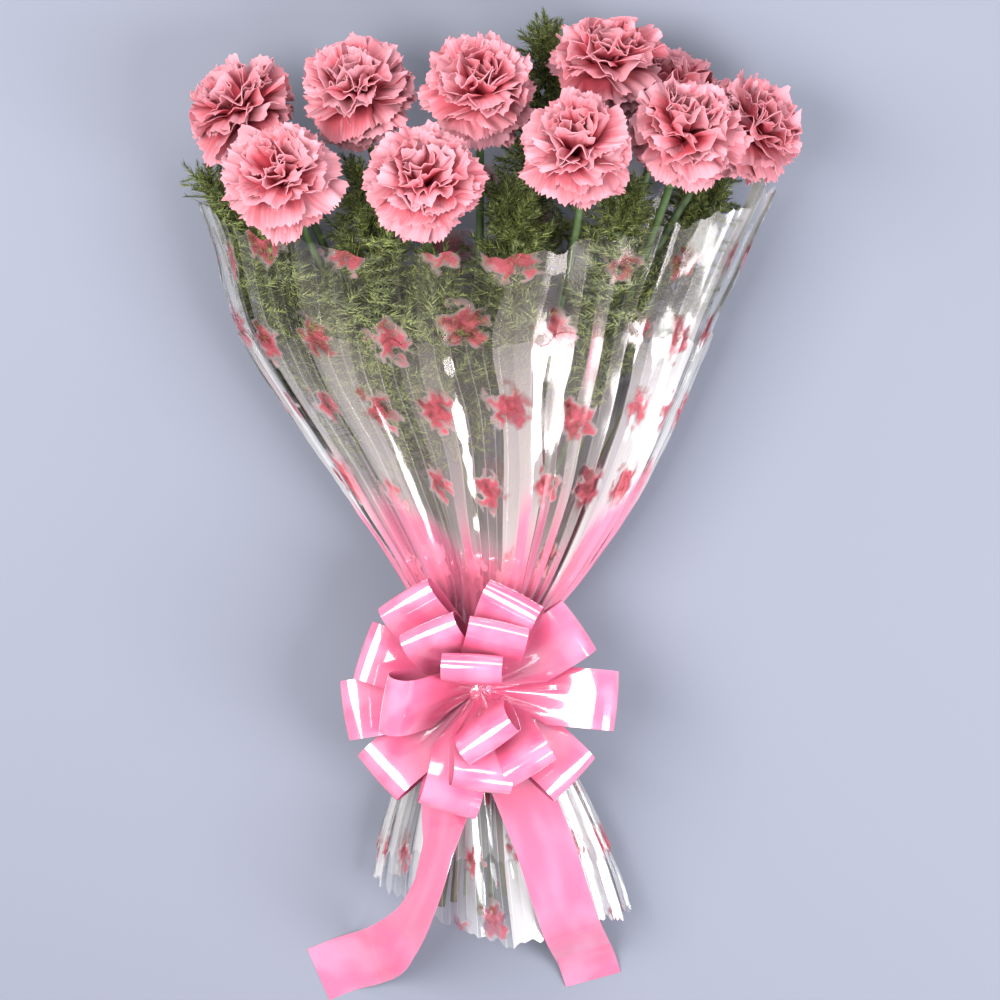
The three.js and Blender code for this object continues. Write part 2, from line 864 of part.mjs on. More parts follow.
function addBranchlets() {
  FERNS.forEach((fern, k) => {
    const name = numbered("fern", k);
    const draw = drawer(k + 51);
    const parts = [pieces.get(name).solid];
    const nodes = fern.rows.filter((row) => row.length === 2).slice(5, -1);
    nodes.forEach(([at], i) => {
      const spot = fern.curve.getPointAt(at);
      const along = fern.curve.getTangentAt(at);
      const length = BRANCH_LENGTH * (1 - (0.45 * i) / nodes.length);
      const around = radians(i % 2 ? 0 : 90) + draw(-0.4, 0.4);
      parts.push(...clearBranchlet(name, spot, along, around, length));
    });
    place(name, joined(parts), FERN_COLOUR, 0.7);
  });
}

// Ribbon

// One loop of the bow: out from the knot, over a bend and back to the knot
function loopSolid({ heading, rise, length }) {
  const turn = radians(heading);
  const climb = radians(rise);
  const out = new THREE.Vector3(
    Math.cos(turn) * Math.cos(climb),
    Math.sin(turn) * Math.cos(climb),
    Math.sin(climb),
  );
  const up = new THREE.Vector3(
    -Math.cos(turn) * Math.sin(climb),
    -Math.sin(turn) * Math.sin(climb),
    Math.cos(climb),
  );
  const across = out.clone().cross(up);
  const middle = (t) => {
    const reach = Math.sin(Math.PI * t);
    const rises = -LOOP_HALF * Math.sin(2 * Math.PI * t) * reach ** 1.3;
    return KNOT.clone().addScaledVector(out, length * reach).addScaledVector(up, rises);
  };
  const rule = (offset) => (x, y) => {
    const t = y + 0.5;
    const reach = Math.sin(Math.PI * t);
    const along = middle(Math.min(t + 0.02, 1)).sub(middle(Math.max(t - 0.02, 0))).normalize();
    const normal = across.clone().cross(along);
    const width = RIBBON_WIDTH * THREE.MathUtils.clamp(reach / 0.8, 0.14, 1);
    return middle(t).addScaledVector(across, x * width).addScaledVector(normal, offset);
  };
  const grid = new THREE.PlaneGeometry(1, 1, 1, LOOP_STEPS);
  return thinSolid(grid, rule(RIBBON_THICK / 2), rule(-RIBBON_THICK / 2));
}

function knotSolid() {
  const ball = new THREE.SphereGeometry(KNOT_RADIUS, 8, 6);
  ball.rotateX(Math.PI / 2).scale(1, 1, (KNOT.z - KNOT_UNDERSIDE) / KNOT_RADIUS);
  return solidOf(ball.translate(KNOT.x, KNOT.y, KNOT.z));
}

function makeBow() {
  const parts = [knotSolid()];
  for (const loop of LOOPS) {
    const solid = loopSolid(loop);
    if (!isClear(solid)) throw new Error("the loop towards " + loop.heading + " touches another piece");
    parts.push(solid);
  }
  place("bow_loops", joined(parts), RIBBON_COLOUR, 0.35);
}

// A tail: a flat strip with a row at each point of its path, turned there by its roll
function tailSolid(stations) {
  const points = stations.map(([x, y, z]) => new THREE.Vector3(x, y, z));
  const curve = new THREE.CatmullRomCurve3(points);
  const steps = points.length - 1;
  const rule = (offset) => (x, y) => {
    const k = Math.round((y + 0.5) * steps);
    const along = curve.getTangent(k / steps);
    const heading = k < TAIL_PAIRED ? new THREE.Vector3(0, -1, 0) : along;
    const level = new THREE.Vector3(0, 0, 1).cross(heading).normalize();
    const face = along.clone().cross(level);
    const roll = radians(stations[k][3]);
    const across = level
      .clone()
      .multiplyScalar(Math.cos(roll))
      .addScaledVector(face, Math.sin(roll));
    const normal = across.clone().cross(along);
    return points[k]
      .clone()
      .addScaledVector(across, x * RIBBON_WIDTH)
      .addScaledVector(normal, offset);
  };
  const grid = new THREE.PlaneGeometry(1, 1, 1, steps);
  return thinSolid(grid, rule(RIBBON_THICK / 2), rule(-RIBBON_THICK / 2));
}

// Putting it together

makeStems();
makeFilm();
place("stem_band", band(STEM_BAND), FILM_COLOUR, 0.4);
place("tie_band", band(TIE_BAND), RIBBON_COLOUR, 0.5);
makeBlooms();
placeFernStems();
addLeaves();
addBranchlets();
place("ribbon_tail_left", tailSolid(TAIL_LEFT), RIBBON_COLOUR, 0.35);
place("ribbon_tail_right", tailSolid(TAIL_RIGHT), RIBBON_COLOUR, 0.35);
makeBow();

const group = new THREE.Group();
group.name = "bunch_of_carnations";

// A solid as three.js geometry
function geometryOf(solid) {
  const mesh = solid.getMesh();
  const stride = mesh.numProp;
  const spots = new Float32Array(mesh.numVert * 3);
  for (let i = 0; i < mesh.numVert; i++) {
    spots.set(mesh.vertProperties.subarray(i * stride, i * stride + 3), i * 3);
  }
  const geometry = new THREE.BufferGeometry();
  geometry.setAttribute("position", new THREE.BufferAttribute(spots, 3));
  geometry.setIndex(new THREE.BufferAttribute(new Uint32Array(mesh.triVerts), 1));
  return geometry;
}

// The solid with its vertices on a fine grid, without the specks that the rounding splits off
function settled(solid) {
  const rounded = solidOf(mergeVertices(geometryOf(solid), ROUNDING));
  const bodies = rounded.decompose().filter((body) => Math.abs(body.volume()) > SPECK);
  return wasm.Manifold.union(bodies);
}

function addNode(name, { solid, colour, roughness }) {
  const geometry = geometryOf(settled(solid));
  geometry.computeVertexNormals();
  const material = new THREE.MeshStandardMaterial({ color: colour, roughness });
  const node = new THREE.Mesh(geometry, material);
  node.name = name;
  group.add(node);
}

for (const [name, piece] of pieces) addNode(name, piece);

// The middle of the underside becomes the origin
const box = new THREE.Box3().setFromObject(group);
const middle = box.getCenter(new THREE.Vector3());
group.position.set(-middle.x, -middle.y, -box.min.z);

export default group;
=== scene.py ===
# %% [markdown]
# A bunch of carnations in printed film
#
# Ten pink carnations and nine sprays of fine fern stand in two sheets of clear printed film. A band
# gathers the film, and a pull bow of satin ribbon hides the band. The bunch lies on its back, as a
# bouquet is laid down, so the camera looks down on it.
#
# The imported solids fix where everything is. This notebook replaces each of them with a finer piece in
# the same place: real petals, needles, pleats and satin.

# %% Load the fixed frame
import math
import random
from bisect import bisect_right

import bmesh
import bpy
from mathutils import Matrix, Vector, noise
from mathutils.geometry import interpolate_bezier


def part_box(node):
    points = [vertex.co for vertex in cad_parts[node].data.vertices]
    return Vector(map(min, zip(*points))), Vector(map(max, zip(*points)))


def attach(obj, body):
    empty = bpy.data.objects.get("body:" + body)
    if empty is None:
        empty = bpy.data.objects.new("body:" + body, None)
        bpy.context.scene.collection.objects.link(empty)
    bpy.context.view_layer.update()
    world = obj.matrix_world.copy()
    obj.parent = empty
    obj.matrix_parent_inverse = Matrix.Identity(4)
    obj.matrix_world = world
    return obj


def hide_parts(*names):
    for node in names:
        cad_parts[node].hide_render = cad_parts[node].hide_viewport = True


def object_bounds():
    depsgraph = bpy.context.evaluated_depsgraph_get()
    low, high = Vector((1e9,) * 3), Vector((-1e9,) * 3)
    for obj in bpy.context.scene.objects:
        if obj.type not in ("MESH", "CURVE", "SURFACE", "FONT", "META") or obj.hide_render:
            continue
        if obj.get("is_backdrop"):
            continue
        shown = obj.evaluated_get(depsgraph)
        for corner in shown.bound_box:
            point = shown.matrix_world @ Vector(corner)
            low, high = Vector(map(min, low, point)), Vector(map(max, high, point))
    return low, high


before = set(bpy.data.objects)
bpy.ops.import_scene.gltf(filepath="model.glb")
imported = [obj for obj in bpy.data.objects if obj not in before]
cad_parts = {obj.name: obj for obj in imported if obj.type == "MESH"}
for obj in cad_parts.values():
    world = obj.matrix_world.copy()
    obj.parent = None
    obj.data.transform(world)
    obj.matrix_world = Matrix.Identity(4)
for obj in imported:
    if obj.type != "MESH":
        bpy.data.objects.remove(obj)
cad_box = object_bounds()
scene = bpy.context.scene


def add_object(name, data):
    made = bpy.data.objects.new(name, data)
    scene.collection.objects.link(made)
    return made


print("solids in the frame:", len(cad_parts))

# %% [markdown]
# The shapes are worked out in millimetres on the florist's own plan: the tie is near the origin, the
# flowers lie towards +Y and the bow faces +Z. One matrix turns that plan into metres in the frame, and
# it is measured from the band at the tie, so a piece can't drift away from the solid that it stands for.

# %% From the plan to the frame
MM = 0.001
TIE = Vector((0, -8, 22))
band_low, band_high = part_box("tie_band")
PLAN_TO_FRAME = Matrix.Translation((band_low + band_high) / 2 - TIE * MM) @ Matrix.Scale(MM, 4)
FRAME_TO_PLAN = PLAN_TO_FRAME.inverted()
print("tie in the frame:", tuple(round(v, 4) for v in PLAN_TO_FRAME @ TIE))

# %% [markdown]
# The camera
#
# The photograph was taken level, from the side of the bow, with a long lens. The bunch now lies down, so
# the same view is from above: the picture's up is the bunch's +Y, and the camera leans a little towards
# the flowers.

# %% Camera
CAMERA_SPOT = Vector((10, 377.8, 1808.5))
CAMERA_TILT = 9
LENS = 112.5

camera = add_object("camera", bpy.data.cameras.new("camera"))
camera.data.lens = LENS
camera.data.sensor_width = 36
camera.location = PLAN_TO_FRAME @ CAMERA_SPOT
camera.rotation_euler = (math.radians(-CAMERA_TILT), 0, 0)
scene.camera = camera
print("camera at", tuple(round(v, 3) for v in camera.location))

# %% [markdown]
# Floor and light
#
# A plain pale floor and soft lamps. Satin and film show themselves only by what they reflect, so the
# lamps are large panels: one from the upper left gives the bands on the ribbon's bends, one from the
# right fills the shadows, and a weaker one at the flowers' end runs along the pleats.

# %% Floor, sky and lamps
FLOOR_COLOUR = (0.270, 0.283, 0.345, 1)
FLOOR_HALF = 3  # metres
SKY_COLOUR = (0.80, 0.84, 0.92, 1)
SKY_STRENGTH = 0.55
LAMPS = {
    "key": {"spot": (-0.75, 0.30, 1.31), "size": (0.62, 1.1), "power": 25, "colour": (1.0, 0.985, 0.96)},
    "fill": {"spot": (1.00, -0.33, 1.16), "size": (0.55, 1.2), "power": 25, "colour": (0.97, 0.98, 1.0)},
    "head": {"spot": (0.15, 1.22, 0.95), "size": (1.4, 0.4), "power": 9, "colour": (1.0, 1.0, 1.0)},
}


def add_floor():
    bm = bmesh.new()
    bmesh.ops.create_grid(bm, x_segments=1, y_segments=1, size=FLOOR_HALF)
    mesh = bpy.data.meshes.new("floor")
    bm.to_mesh(mesh)
    bm.free()
    material = bpy.data.materials.new("floor")
    material.use_nodes = True
    shader = material.node_tree.nodes["Principled BSDF"]
    shader.inputs["Base Color"].default_value = FLOOR_COLOUR
    shader.inputs["Roughness"].default_value = 0.9
    shader.inputs["Specular IOR Level"].default_value = 0
    mesh.materials.append(material)
    add_object("floor", mesh)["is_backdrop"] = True


def add_lamp(name, spot, size, power, colour):
    lamp = bpy.data.lights.new(name, "AREA")
    lamp.shape = "RECTANGLE"
    lamp.size, lamp.size_y = size
    lamp.energy = power
    lamp.color = colour
    holder = add_object(name, lamp)
    holder.location = spot
    holder.rotation_euler = Vector(spot).to_track_quat("Z", "Y").to_euler()


add_floor()
for lamp_name, lamp_values in LAMPS.items():
    add_lamp(lamp_name, **lamp_values)
sky = bpy.data.worlds.new("sky")
sky.use_nodes = True
sky.node_tree.nodes["Background"].inputs["Color"].default_value = SKY_COLOUR
sky.node_tree.nodes["Background"].inputs["Strength"].default_value = SKY_STRENGTH
scene.world = sky
scene.view_settings.view_transform = "Standard"
scene.cycles.max_bounces = 5
scene.cycles.diffuse_bounces = 1
scene.cycles.glossy_bounces = 2
print("lamps:", len(LAMPS))

# %% [markdown]
# Writing materials as sums
#
# Each finish is a small graph of shader nodes. Wiring such a graph by hand hides what it works out, so a
# tiny class wraps one output of a node and lets Python's own signs add the Math nodes.

# %% Shader values
class Value:
    """One output of a shader node."""

    def __init__(self, finish, socket):
        self.finish = finish
        self.socket = socket

    def math(self, operation, *others):
        return self.finish.node("ShaderNodeMath", {"operation": operation}, [self, *others])

    def __add__(self, other):
        return self.math("ADD", other)

    def __sub__(self, other):
        return self.math("SUBTRACT", other)

    def __mul__(self, other):
        return self.math("MULTIPLY", other)

    def __rsub__(self, other):
        return self * -1 + other

    __radd__ = __add__
    __rmul__ = __mul__


class Finish:
    """A material and its graph of nodes."""

    def __init__(self, name):
        self.material = bpy.data.materials.new(name)
        self.material.use_nodes = True
        self.tree = self.material.node_tree
        self.surface = self.tree.nodes["Principled BSDF"]
        self.output = self.tree.nodes["Material Output"]

    def node(self, kind, settings, inputs, output=0):
        made = self.tree.nodes.new(kind)
        for key, value in settings.items():
            setattr(made, key, value)
        named = enumerate(inputs) if isinstance(inputs, list) else inputs.items()
        for key, value in named:
            self.connect(value, made.inputs[key])
        return Value(self, made.outputs[output])

    def connect(self, value, socket):
        if isinstance(value, Value):
            self.tree.links.new(value.socket, socket)
        else:
            socket.default_value = value

    def attribute(self, name):
        return self.node("ShaderNodeAttribute", {"attribute_name": name}, {}, "Fac")

    def vector(self, x, y, z=0.0):
        return self.node("ShaderNodeCombineXYZ", {}, [x, y, z])

    def parts(self, vector):
        made = self.node("ShaderNodeSeparateXYZ", {}, [vector])
        return [Value(self, socket) for socket in made.socket.node.outputs]

    def noise(self, vector, scale, detail=2.0, dimensions="3D"):
        values = {"Vector": vector, "Scale": scale, "Detail": detail}
        return self.node("ShaderNodeTexNoise", {"noise_dimensions": dimensions}, values)

    def step(self, value, low, high):
        settings = {"interpolation_type": "SMOOTHSTEP"}
        return self.node("ShaderNodeMapRange", settings, {0: value, 1: low, 2: high})

    def mix(self, factor, first, second):
        return self.node("ShaderNodeMix", {"data_type": "RGBA"}, {0: factor, 6: first, 7: second}, 2)

    def bump(self, height, distance, strength):
        values = {"Height": height, "Distance": distance, "Strength": strength}
        return self.node("ShaderNodeBump", {}, values)

    def set(self, **values):
        for name, value in values.items():
            self.connect(value, self.surface.inputs[name.replace("_", " ")])

    def cover_only(self, cover, tint):
        """The surface covers a share of what lies behind it, and the rest is seen through it."""
        clear = self.node("ShaderNodeBsdfTransparent", {}, {"Color": tint})
        surface = Value(self, self.surface.outputs[0])
        mixed = self.node("ShaderNodeMixShader", {}, [cover, clear, surface])
        self.connect(mixed, self.output.inputs["Surface"])


print("shader helpers ready")

# %% [markdown]
# Petals: colour
#
# A pink carnation's petal pales to a light pink at the toothed edge. Towards its root, deep in the head, a
# darker coral is painted on as painted shade. Light also passes through it. Each petal carries three
# numbers on its points: how near the edge a point is, where it lies across the petal, and one tone drawn
# for the whole petal. The finish reads those, so it follows every fold.

# %% Petal finish
# the deepest colour is painted shade for the depth of the head
PETAL_ROOT_SHADE = (0.60, 0.045, 0.07, 1)
PETAL_BODY = (0.80, 0.118, 0.158, 1)
PETAL_EDGE = (0.92, 0.39, 0.455, 1)


def petal_finish():
    finish = Finish("carnation_petal")
    edge = finish.attribute("edge")
    across = finish.attribute("across")
    tone = finish.attribute("tone")
    veins = finish.noise(finish.vector(across * 26, edge * 2.2, tone * 40), 1.0, 1.0)
    # painted shade: each petal darkens to a deep coral towards its root, deep inside the head
    depth = finish.step(edge + (tone - 0.5) * 0.25, 0.25, 0.85)
    body = finish.mix(depth, PETAL_ROOT_SHADE, PETAL_BODY)
    pale = finish.step(edge + (veins - 0.5) * 0.30 + (tone - 0.5) * 0.22, 0.66, 1.05)
    finish.set(Base_Color=finish.mix(pale * 0.85, body, PETAL_EDGE))
    finish.set(Roughness=0.62, Normal=finish.bump(veins, 0.0006, 0.45))
    finish.set(Subsurface_Weight=0.22, Subsurface_Radius=(1.0, 0.35, 0.3), Subsurface_Scale=0.003)
    return finish.material


PETAL = petal_finish()
print("finish:", PETAL.name)

# %% [markdown]
# Greens
#
# A carnation's stem and leaves are blue-green under a pale bloom of wax, darker at the swollen joints.
# The fern is a fresher yellow-green, and its needles vary from one to the next.

# %% Stem and fern finishes
STEM_GREEN = (0.060, 0.105, 0.030, 1)
STEM_WAX = (0.13, 0.19, 0.085, 1)
FERN_DARK = (0.022, 0.038, 0.008, 1)
FERN_FRESH = (0.37, 0.41, 0.11, 1)


def stem_finish():
    finish = Finish("carnation_stem")
    place = finish.node("ShaderNodeTexCoord", {}, {}, "Object")
    wax = finish.noise(place, 90, 2.0)
    joint = finish.attribute("joint")
    colour = finish.mix(finish.step(wax, 0.35, 0.7), STEM_GREEN, STEM_WAX)
    finish.set(Base_Color=finish.mix(joint * 0.5, colour, STEM_WAX))
    finish.set(Roughness=0.5 + wax * 0.2, Normal=finish.bump(wax, 0.0004, 0.4))
    return finish.material


def fern_finish():
    finish = Finish("fern_needle")
    tone = finish.attribute("tone")
    finish.set(Base_Color=finish.mix(tone, FERN_DARK, FERN_FRESH), Roughness=0.5)
    return finish.material


STEM = stem_finish()
FERN = fern_finish()
print("finishes:", STEM.name, FERN.name)

# %% [markdown]
# Satin ribbon
#
# Florist's ribbon is a smooth, bright plastic satin: one flat pink with hard white bands where it bends.
# Most of that comes from a low roughness and a clear coat. Soft lighter clouds along the ribbon are painted
# sheen. Fine lines along the ribbon break the reflection a little.

# %% Ribbon finish
RIBBON_PINK = (0.96, 0.155, 0.31, 1)
# the lighter pink of the painted sheen
RIBBON_SHEEN_PINK = (1.0, 0.26, 0.43, 1)


def ribbon_finish():
    finish = Finish("satin_ribbon")
    across = finish.attribute("across")
    along = finish.attribute("along")
    lines = finish.noise(finish.vector(across * 70, along * 1.5), 1.0, 1.0, "2D")
    # painted sheen: soft clouds of lighter pink along the ribbon
    sheen_clouds = finish.noise(finish.vector(across * 2, along * 5), 1.0, 1.0, "2D")
    finish.set(Base_Color=finish.mix(finish.step(sheen_clouds, 0.3, 0.7), RIBBON_PINK, RIBBON_SHEEN_PINK))
    finish.set(Roughness=0.13 + lines * 0.08, Normal=finish.bump(lines, 0.0001, 0.25))
    finish.set(Coat_Weight=1.0, Coat_Roughness=0.06, Coat_IOR=2.0, Specular_IOR_Level=0.9)
    return finish.material


RIBBON = ribbon_finish()
print("finish:", RIBBON.name)

# %% [markdown]
# Printed film
#
# The wrap is thin clear film. Three things make it visible: a pale haze in strips along the pleats, a
# mirror-like gloss that grows at a glancing angle, and the print, rows of soft pink five-petalled
# blossoms. The sheet's own coordinates are the unrolled film, so the print is squeezed where the film is
# gathered, as on the real one.
#
# Each point of a sheet says how hazy the film is there, how much painted sheen whitens it, how pink it is,
# and how many layers lie on each other. The flanks get more haze and a painted white sheen, the skirt is
# painted white as sheen too, and the film blushes pink towards the tie. The finish only reads those
# numbers, which is much quicker to render than working them out for every ray.

# %% Film finish
SHEET_GIRTH = 0.79  # unrolled width of the film at its mouth, metres
PRINT_PITCH = 0.044
BLOSSOM_RADIUS = 0.0130
BLOSSOM_PLACE = 0.35  # where a blossom starts in its cell, and how far it may stray, in shares of the pitch
BLOSSOM_STRAY = 0.3
WIDE_STRIPS = 29  # strips of haze round a sheet
NARROW_STRIPS = 89
WIDE_HAZE = 0.26  # the most that a strip or the line between two strips covers
NARROW_HAZE = 0.07
FOLD_HAZE = 0.09
BLUSH_COVER = 0.36
GLOSS_IOR = 1.35
SQUARE_GLOSS = 0.019  # taken off the gloss, so that film seen square-on is nearly clear
HAZE_COLOUR = (0.95, 0.80, 0.77, 1)
# the white of the painted sheen on the flanks and the skirt
SHEEN_WHITE_COLOUR = (0.97, 0.95, 0.96, 1)
PRINT_COLOUR = (0.34, 0.012, 0.022, 1)
PRINT_SOFT = (0.56, 0.07, 0.10, 1)
BLUSH_COLOUR = (1.0, 0.27, 0.42, 1)


def blossom_mask(finish, around, along):
    """1 on the printed blossoms, circles with five lobes, then their pale lines and their mottling."""
    wobble = finish.noise(finish.vector(around * 130, along * 130), 1.0, 1.0, "2D") - 0.5
    height = along * (1 / PRINT_PITCH)
    row = height.math("FLOOR")
    column = around * (1 / PRINT_PITCH) + row * 0.5
    cell = finish.vector(column.math("FLOOR"), row)
    chances = finish.node("ShaderNodeTexWhiteNoise", {"noise_dimensions": "2D"}, {"Vector": cell}, 1)
    first, second, third = finish.parts(chances)
    place_u = column.math("FRACT") - BLOSSOM_PLACE - first * BLOSSOM_STRAY
    place_v = height.math("FRACT") - BLOSSOM_PLACE - second * BLOSSOM_STRAY
    offset_u = place_u * PRINT_PITCH + wobble * 0.017
    offset_v = place_v * PRINT_PITCH + wobble * 0.015
    radius = (offset_u * offset_u + offset_v * offset_v).math("SQRT")
    angle = offset_v.math("ARCTAN2", offset_u) + third * 6.3
    lobes = (angle * 2.5).math("COSINE").math("ABSOLUTE")
    rim = (lobes * 0.34 + 0.66) * (first * 0.45 + 0.72) * BLOSSOM_RADIUS
    inside = finish.step(rim - radius, -0.0026, 0.0052)
    lines = finish.step(lobes + wobble * 0.7, 0.05, 0.45) * finish.step(radius, 0.0008, 0.0030)
    return inside, lines * finish.step(rim - radius, 0.0010, 0.0032), wobble


def panel_haze(finish, position):
    """Strips along the folds, each with its own haze, because the film lies over itself there."""
    strip = position.math("FLOOR")
    chance = finish.node("ShaderNodeTexWhiteNoise", {"noise_dimensions": "1D"}, {"W": strip})
    return chance * chance


def film_finish():
    finish = Finish("printed_film")
    place = finish.node("ShaderNodeUVMap", {"uv_map": "sheet"}, {})
    share, along, _ = finish.parts(place)
    inside, pale, mottle = blossom_mask(finish, share * SHEET_GIRTH, along)
    names = ("layers", "haze", "sheen_white", "patch", "blush")
    layers, haze_share, sheen_white, patch, tint = (finish.attribute(name) for name in names)
    streaks = finish.noise(finish.vector(share * 62, along * 3), 1.0, 0.0, "2D")
    wide = panel_haze(finish, share * WIDE_STRIPS + patch * 0.4)
    strip = share * NARROW_STRIPS + patch * 0.9
    narrow = panel_haze(finish, strip)
    fold = 1 - finish.step(strip.math("FRACT"), 0.0, 0.12)
    haze = (wide * wide * WIDE_HAZE + narrow * NARROW_HAZE + fold * FOLD_HAZE) * haze_share
    ink = inside * (0.10 + patch * 0.66 + mottle * 0.9 - pale * 0.12)
    single = haze.math("MAXIMUM", ink)
    body = 1 - (1 - single).math("POWER", layers)
    blush = finish.step(tint + (narrow - 0.4) * 0.5 + (patch - 0.5) * 0.9, 0.35, 0.85)
    gloss = (finish.node("ShaderNodeFresnel", {}, {"IOR": GLOSS_IOR}) - SQUARE_GLOSS).math("MAXIMUM", 0.0)
    cover = (body + gloss + blush * BLUSH_COVER).math("MINIMUM", 1.0)
    print_colour = finish.mix(pale, PRINT_COLOUR, PRINT_SOFT)
    # painted sheen: the flanks and the skirt are painted white
    haze_colour = finish.mix(sheen_white, HAZE_COLOUR, SHEEN_WHITE_COLOUR)
    clear_colour = finish.mix(blush, haze_colour, BLUSH_COLOUR)
    finish.set(Base_Color=finish.mix(inside * (1 - blush * 0.6), clear_colour, print_colour))
    finish.set(Roughness=0.07 + narrow * 0.14, Metallic=(1 - inside) * (1 - sheen_white) * 0.4)
    finish.set(IOR=2.0, Specular_IOR_Level=0.75, Coat_Weight=0.45, Coat_Roughness=0.04, Coat_IOR=1.8)
    finish.set(Normal=finish.bump(streaks + narrow * 0.3, 0.0018, 0.6))
    finish.cover_only(cover, (0.99, 0.99, 0.99, 1))
    return finish.material


def film_inside_finish():
    """The inner face of a sheet is clear, because haze, print and gloss are drawn on its outer face."""
    finish = Finish("film_inside")
    finish.set(Base_Color=HAZE_COLOUR, Roughness=0.1, IOR=1.8)
    finish.cover_only(0.0, (1, 1, 1, 1))
    return finish.material


FILM = film_finish()
FILM_INSIDE = film_inside_finish()
scene.cycles.transparent_max_bounces = 16
print("finish:", FILM.name)

# %% [markdown]
# Shaping sheets
#
# Petals, leaves, film and ribbon are all thin sheets, and stems are sheets rolled into a tube. So one
# helper makes a grid and moves each of its points by a rule, and another gives the sheet its thickness.
# The rule gets the share across and along the grid, and names the numbers that the finish reads from
# each point.

# %% Sheet helpers
def add_sheet(bm, columns, rows, rule, marks=None):
    """A grid whose points go where the rule puts them. marks names values for each point."""
    grid = bmesh.ops.create_grid(bm, x_segments=columns, y_segments=rows, size=0.5, calc_uvs=True)
    layers = {}
    for name in marks(0, 0) if marks else ():
        layers[name] = bm.verts.layers.float.get(name) or bm.verts.layers.float.new(name)
    # a new layer renews the points, so they are read again from the end of the list
    bm.verts.ensure_lookup_table()
    fresh = bm.verts[len(bm.verts) - len(grid["verts"]):]
    for vert in fresh:
        across, along = vert.co.x + 0.5, vert.co.y + 0.5
        vert.co = rule(across, along)
        values = marks(across, along) if layers else {}
        for name, layer in layers.items():
            vert[layer] = values[name]
    return fresh


CRISP_ANGLE = math.radians(60)  # a sharper edge, such as the rim of a sheet, isn't smoothed over


def thicken(bm, thickness):
    """Turns open sheets into thin closed solids that face outwards."""
    bm.normal_update()
    made = bmesh.ops.extrude_face_region(bm, geom=bm.faces[:], use_keep_orig=True)["geom"]
    for vert in made:
        if isinstance(vert, bmesh.types.BMVert):
            vert.co += vert.normal * thickness
    bmesh.ops.recalc_face_normals(bm, faces=bm.faces)


def finish_piece(name, bm, nodes, material):
    """Puts a finished shape into the frame in place of the solids that it stands for."""
    bm.transform(PLAN_TO_FRAME)
    bm.normal_update()
    for edge in bm.edges:
        edge.smooth = edge.calc_face_angle(0) < CRISP_ANGLE
    mesh = bpy.data.meshes.new(name)
    bm.to_mesh(mesh)
    bm.free()
    mesh.polygons.foreach_set("use_smooth", [True] * len(mesh.polygons))
    mesh.materials.append(material)
    piece = add_object(name, mesh)
    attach(piece, "root")
    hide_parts(*nodes)
    return piece


def triangles(pieces):
    return sum(len(p.vertices) - 2 for piece in pieces for p in piece.data.polygons)


print("sheet helpers ready")

# %% [markdown]
# The wrap's section
#
# The wrap is an oval tube that is narrow at the tie and wide at the mouth. A few stations along it give
# its centre and half-sizes, and a smooth curve runs through them. Everything inside the wrap uses the
# same section to stay in.

# %% Section of the wrap
# y, centre x, half-width, centre z, half-height
FILM_STATIONS = [
    (-175, 12, 84, 22, 27),
    (-150, 10, 80, 22, 27),
    (-110, 6, 70, 22, 27),
    (-60, 2, 49, 22, 26),
    (-30, 0, 29, 22, 22.5),
    (-16, 0, 18.8, 22, 18.8),
    (0, 0, 18.8, 22, 18.8),
    (24, 2, 36, 25, 27),
    (60, 6, 60, 31, 36),
    (110, 5, 92, 37, 42),
    (196, -4, 137, 44, 49),
    (247, 0, 155, 48, 53),
    (285, 2, 168, 51, 56),
    (340, 2, 174, 53, 58),
]
PLEATS = 14
MOUTH = {"right": 278, "left": 270, "front": 246, "back": 328}
SKIRT = {"right": -148, "left": -128, "front": -163, "back": -140}


def smoothstep(value, low, high):
    t = min(max((value - low) / (high - low), 0), 1)
    return t * t * (3 - 2 * t)


def lerp(low, high, share):
    return low + (high - low) * share


def section(y):
    """Centre x, half-width, centre z and half-height of the wrap at y."""
    last = len(FILM_STATIONS) - 1
    k = 0
    while k < last - 1 and y > FILM_STATIONS[k + 1][0]:
        k += 1
    a, b = FILM_STATIONS[k], FILM_STATIONS[k + 1]
    before, after = FILM_STATIONS[max(k - 1, 0)], FILM_STATIONS[min(k + 2, last)]
    span = b[0] - a[0]
    t = min(max((y - a[0]) / span, 0), 1)
    ease = smoothstep(t, 0, 1)
    rise, fall = t * (1 - t) ** 2 * span, t * t * (t - 1) * span
    values = []
    for i in range(1, 5):
        slope_a = (b[i] - before[i]) / (b[0] - before[0])
        slope_b = (after[i] - a[i]) / (after[0] - a[0])
        values.append(lerp(a[i], b[i], ease) + rise * slope_a + fall * slope_b)
    return values


def film_point(angle, y, inward):
    """A point of the oval at an angle from +X, moved inwards square to the film."""
    centre_x, half_x, centre_z, half_z = section(y)
    normal_x, normal_z = math.cos(angle) / half_x, math.sin(angle) / half_z
    size = math.hypot(normal_x, normal_z)
    x = centre_x + half_x * math.cos(angle) - inward * normal_x / size
    z = centre_z + half_z * math.sin(angle) - inward * normal_z / size
    return Vector((x, y, z))


def edge_y(angle, edge, right_power, left_power):
    """Where an edge of the film is at an angle. A higher power keeps the side's value nearer the side."""
    across = math.cos(angle)
    side, power = (edge["right"], right_power) if across > 0 else (edge["left"], left_power)
    middle = edge["front"] if math.sin(angle) > 0 else edge["back"]
    return lerp(middle, side, abs(across) ** power)


def mouth_y(angle):
    return edge_y(angle, MOUTH, 2.5, 5)


def skirt_y(angle):
    return edge_y(angle, SKIRT, 1, 1)


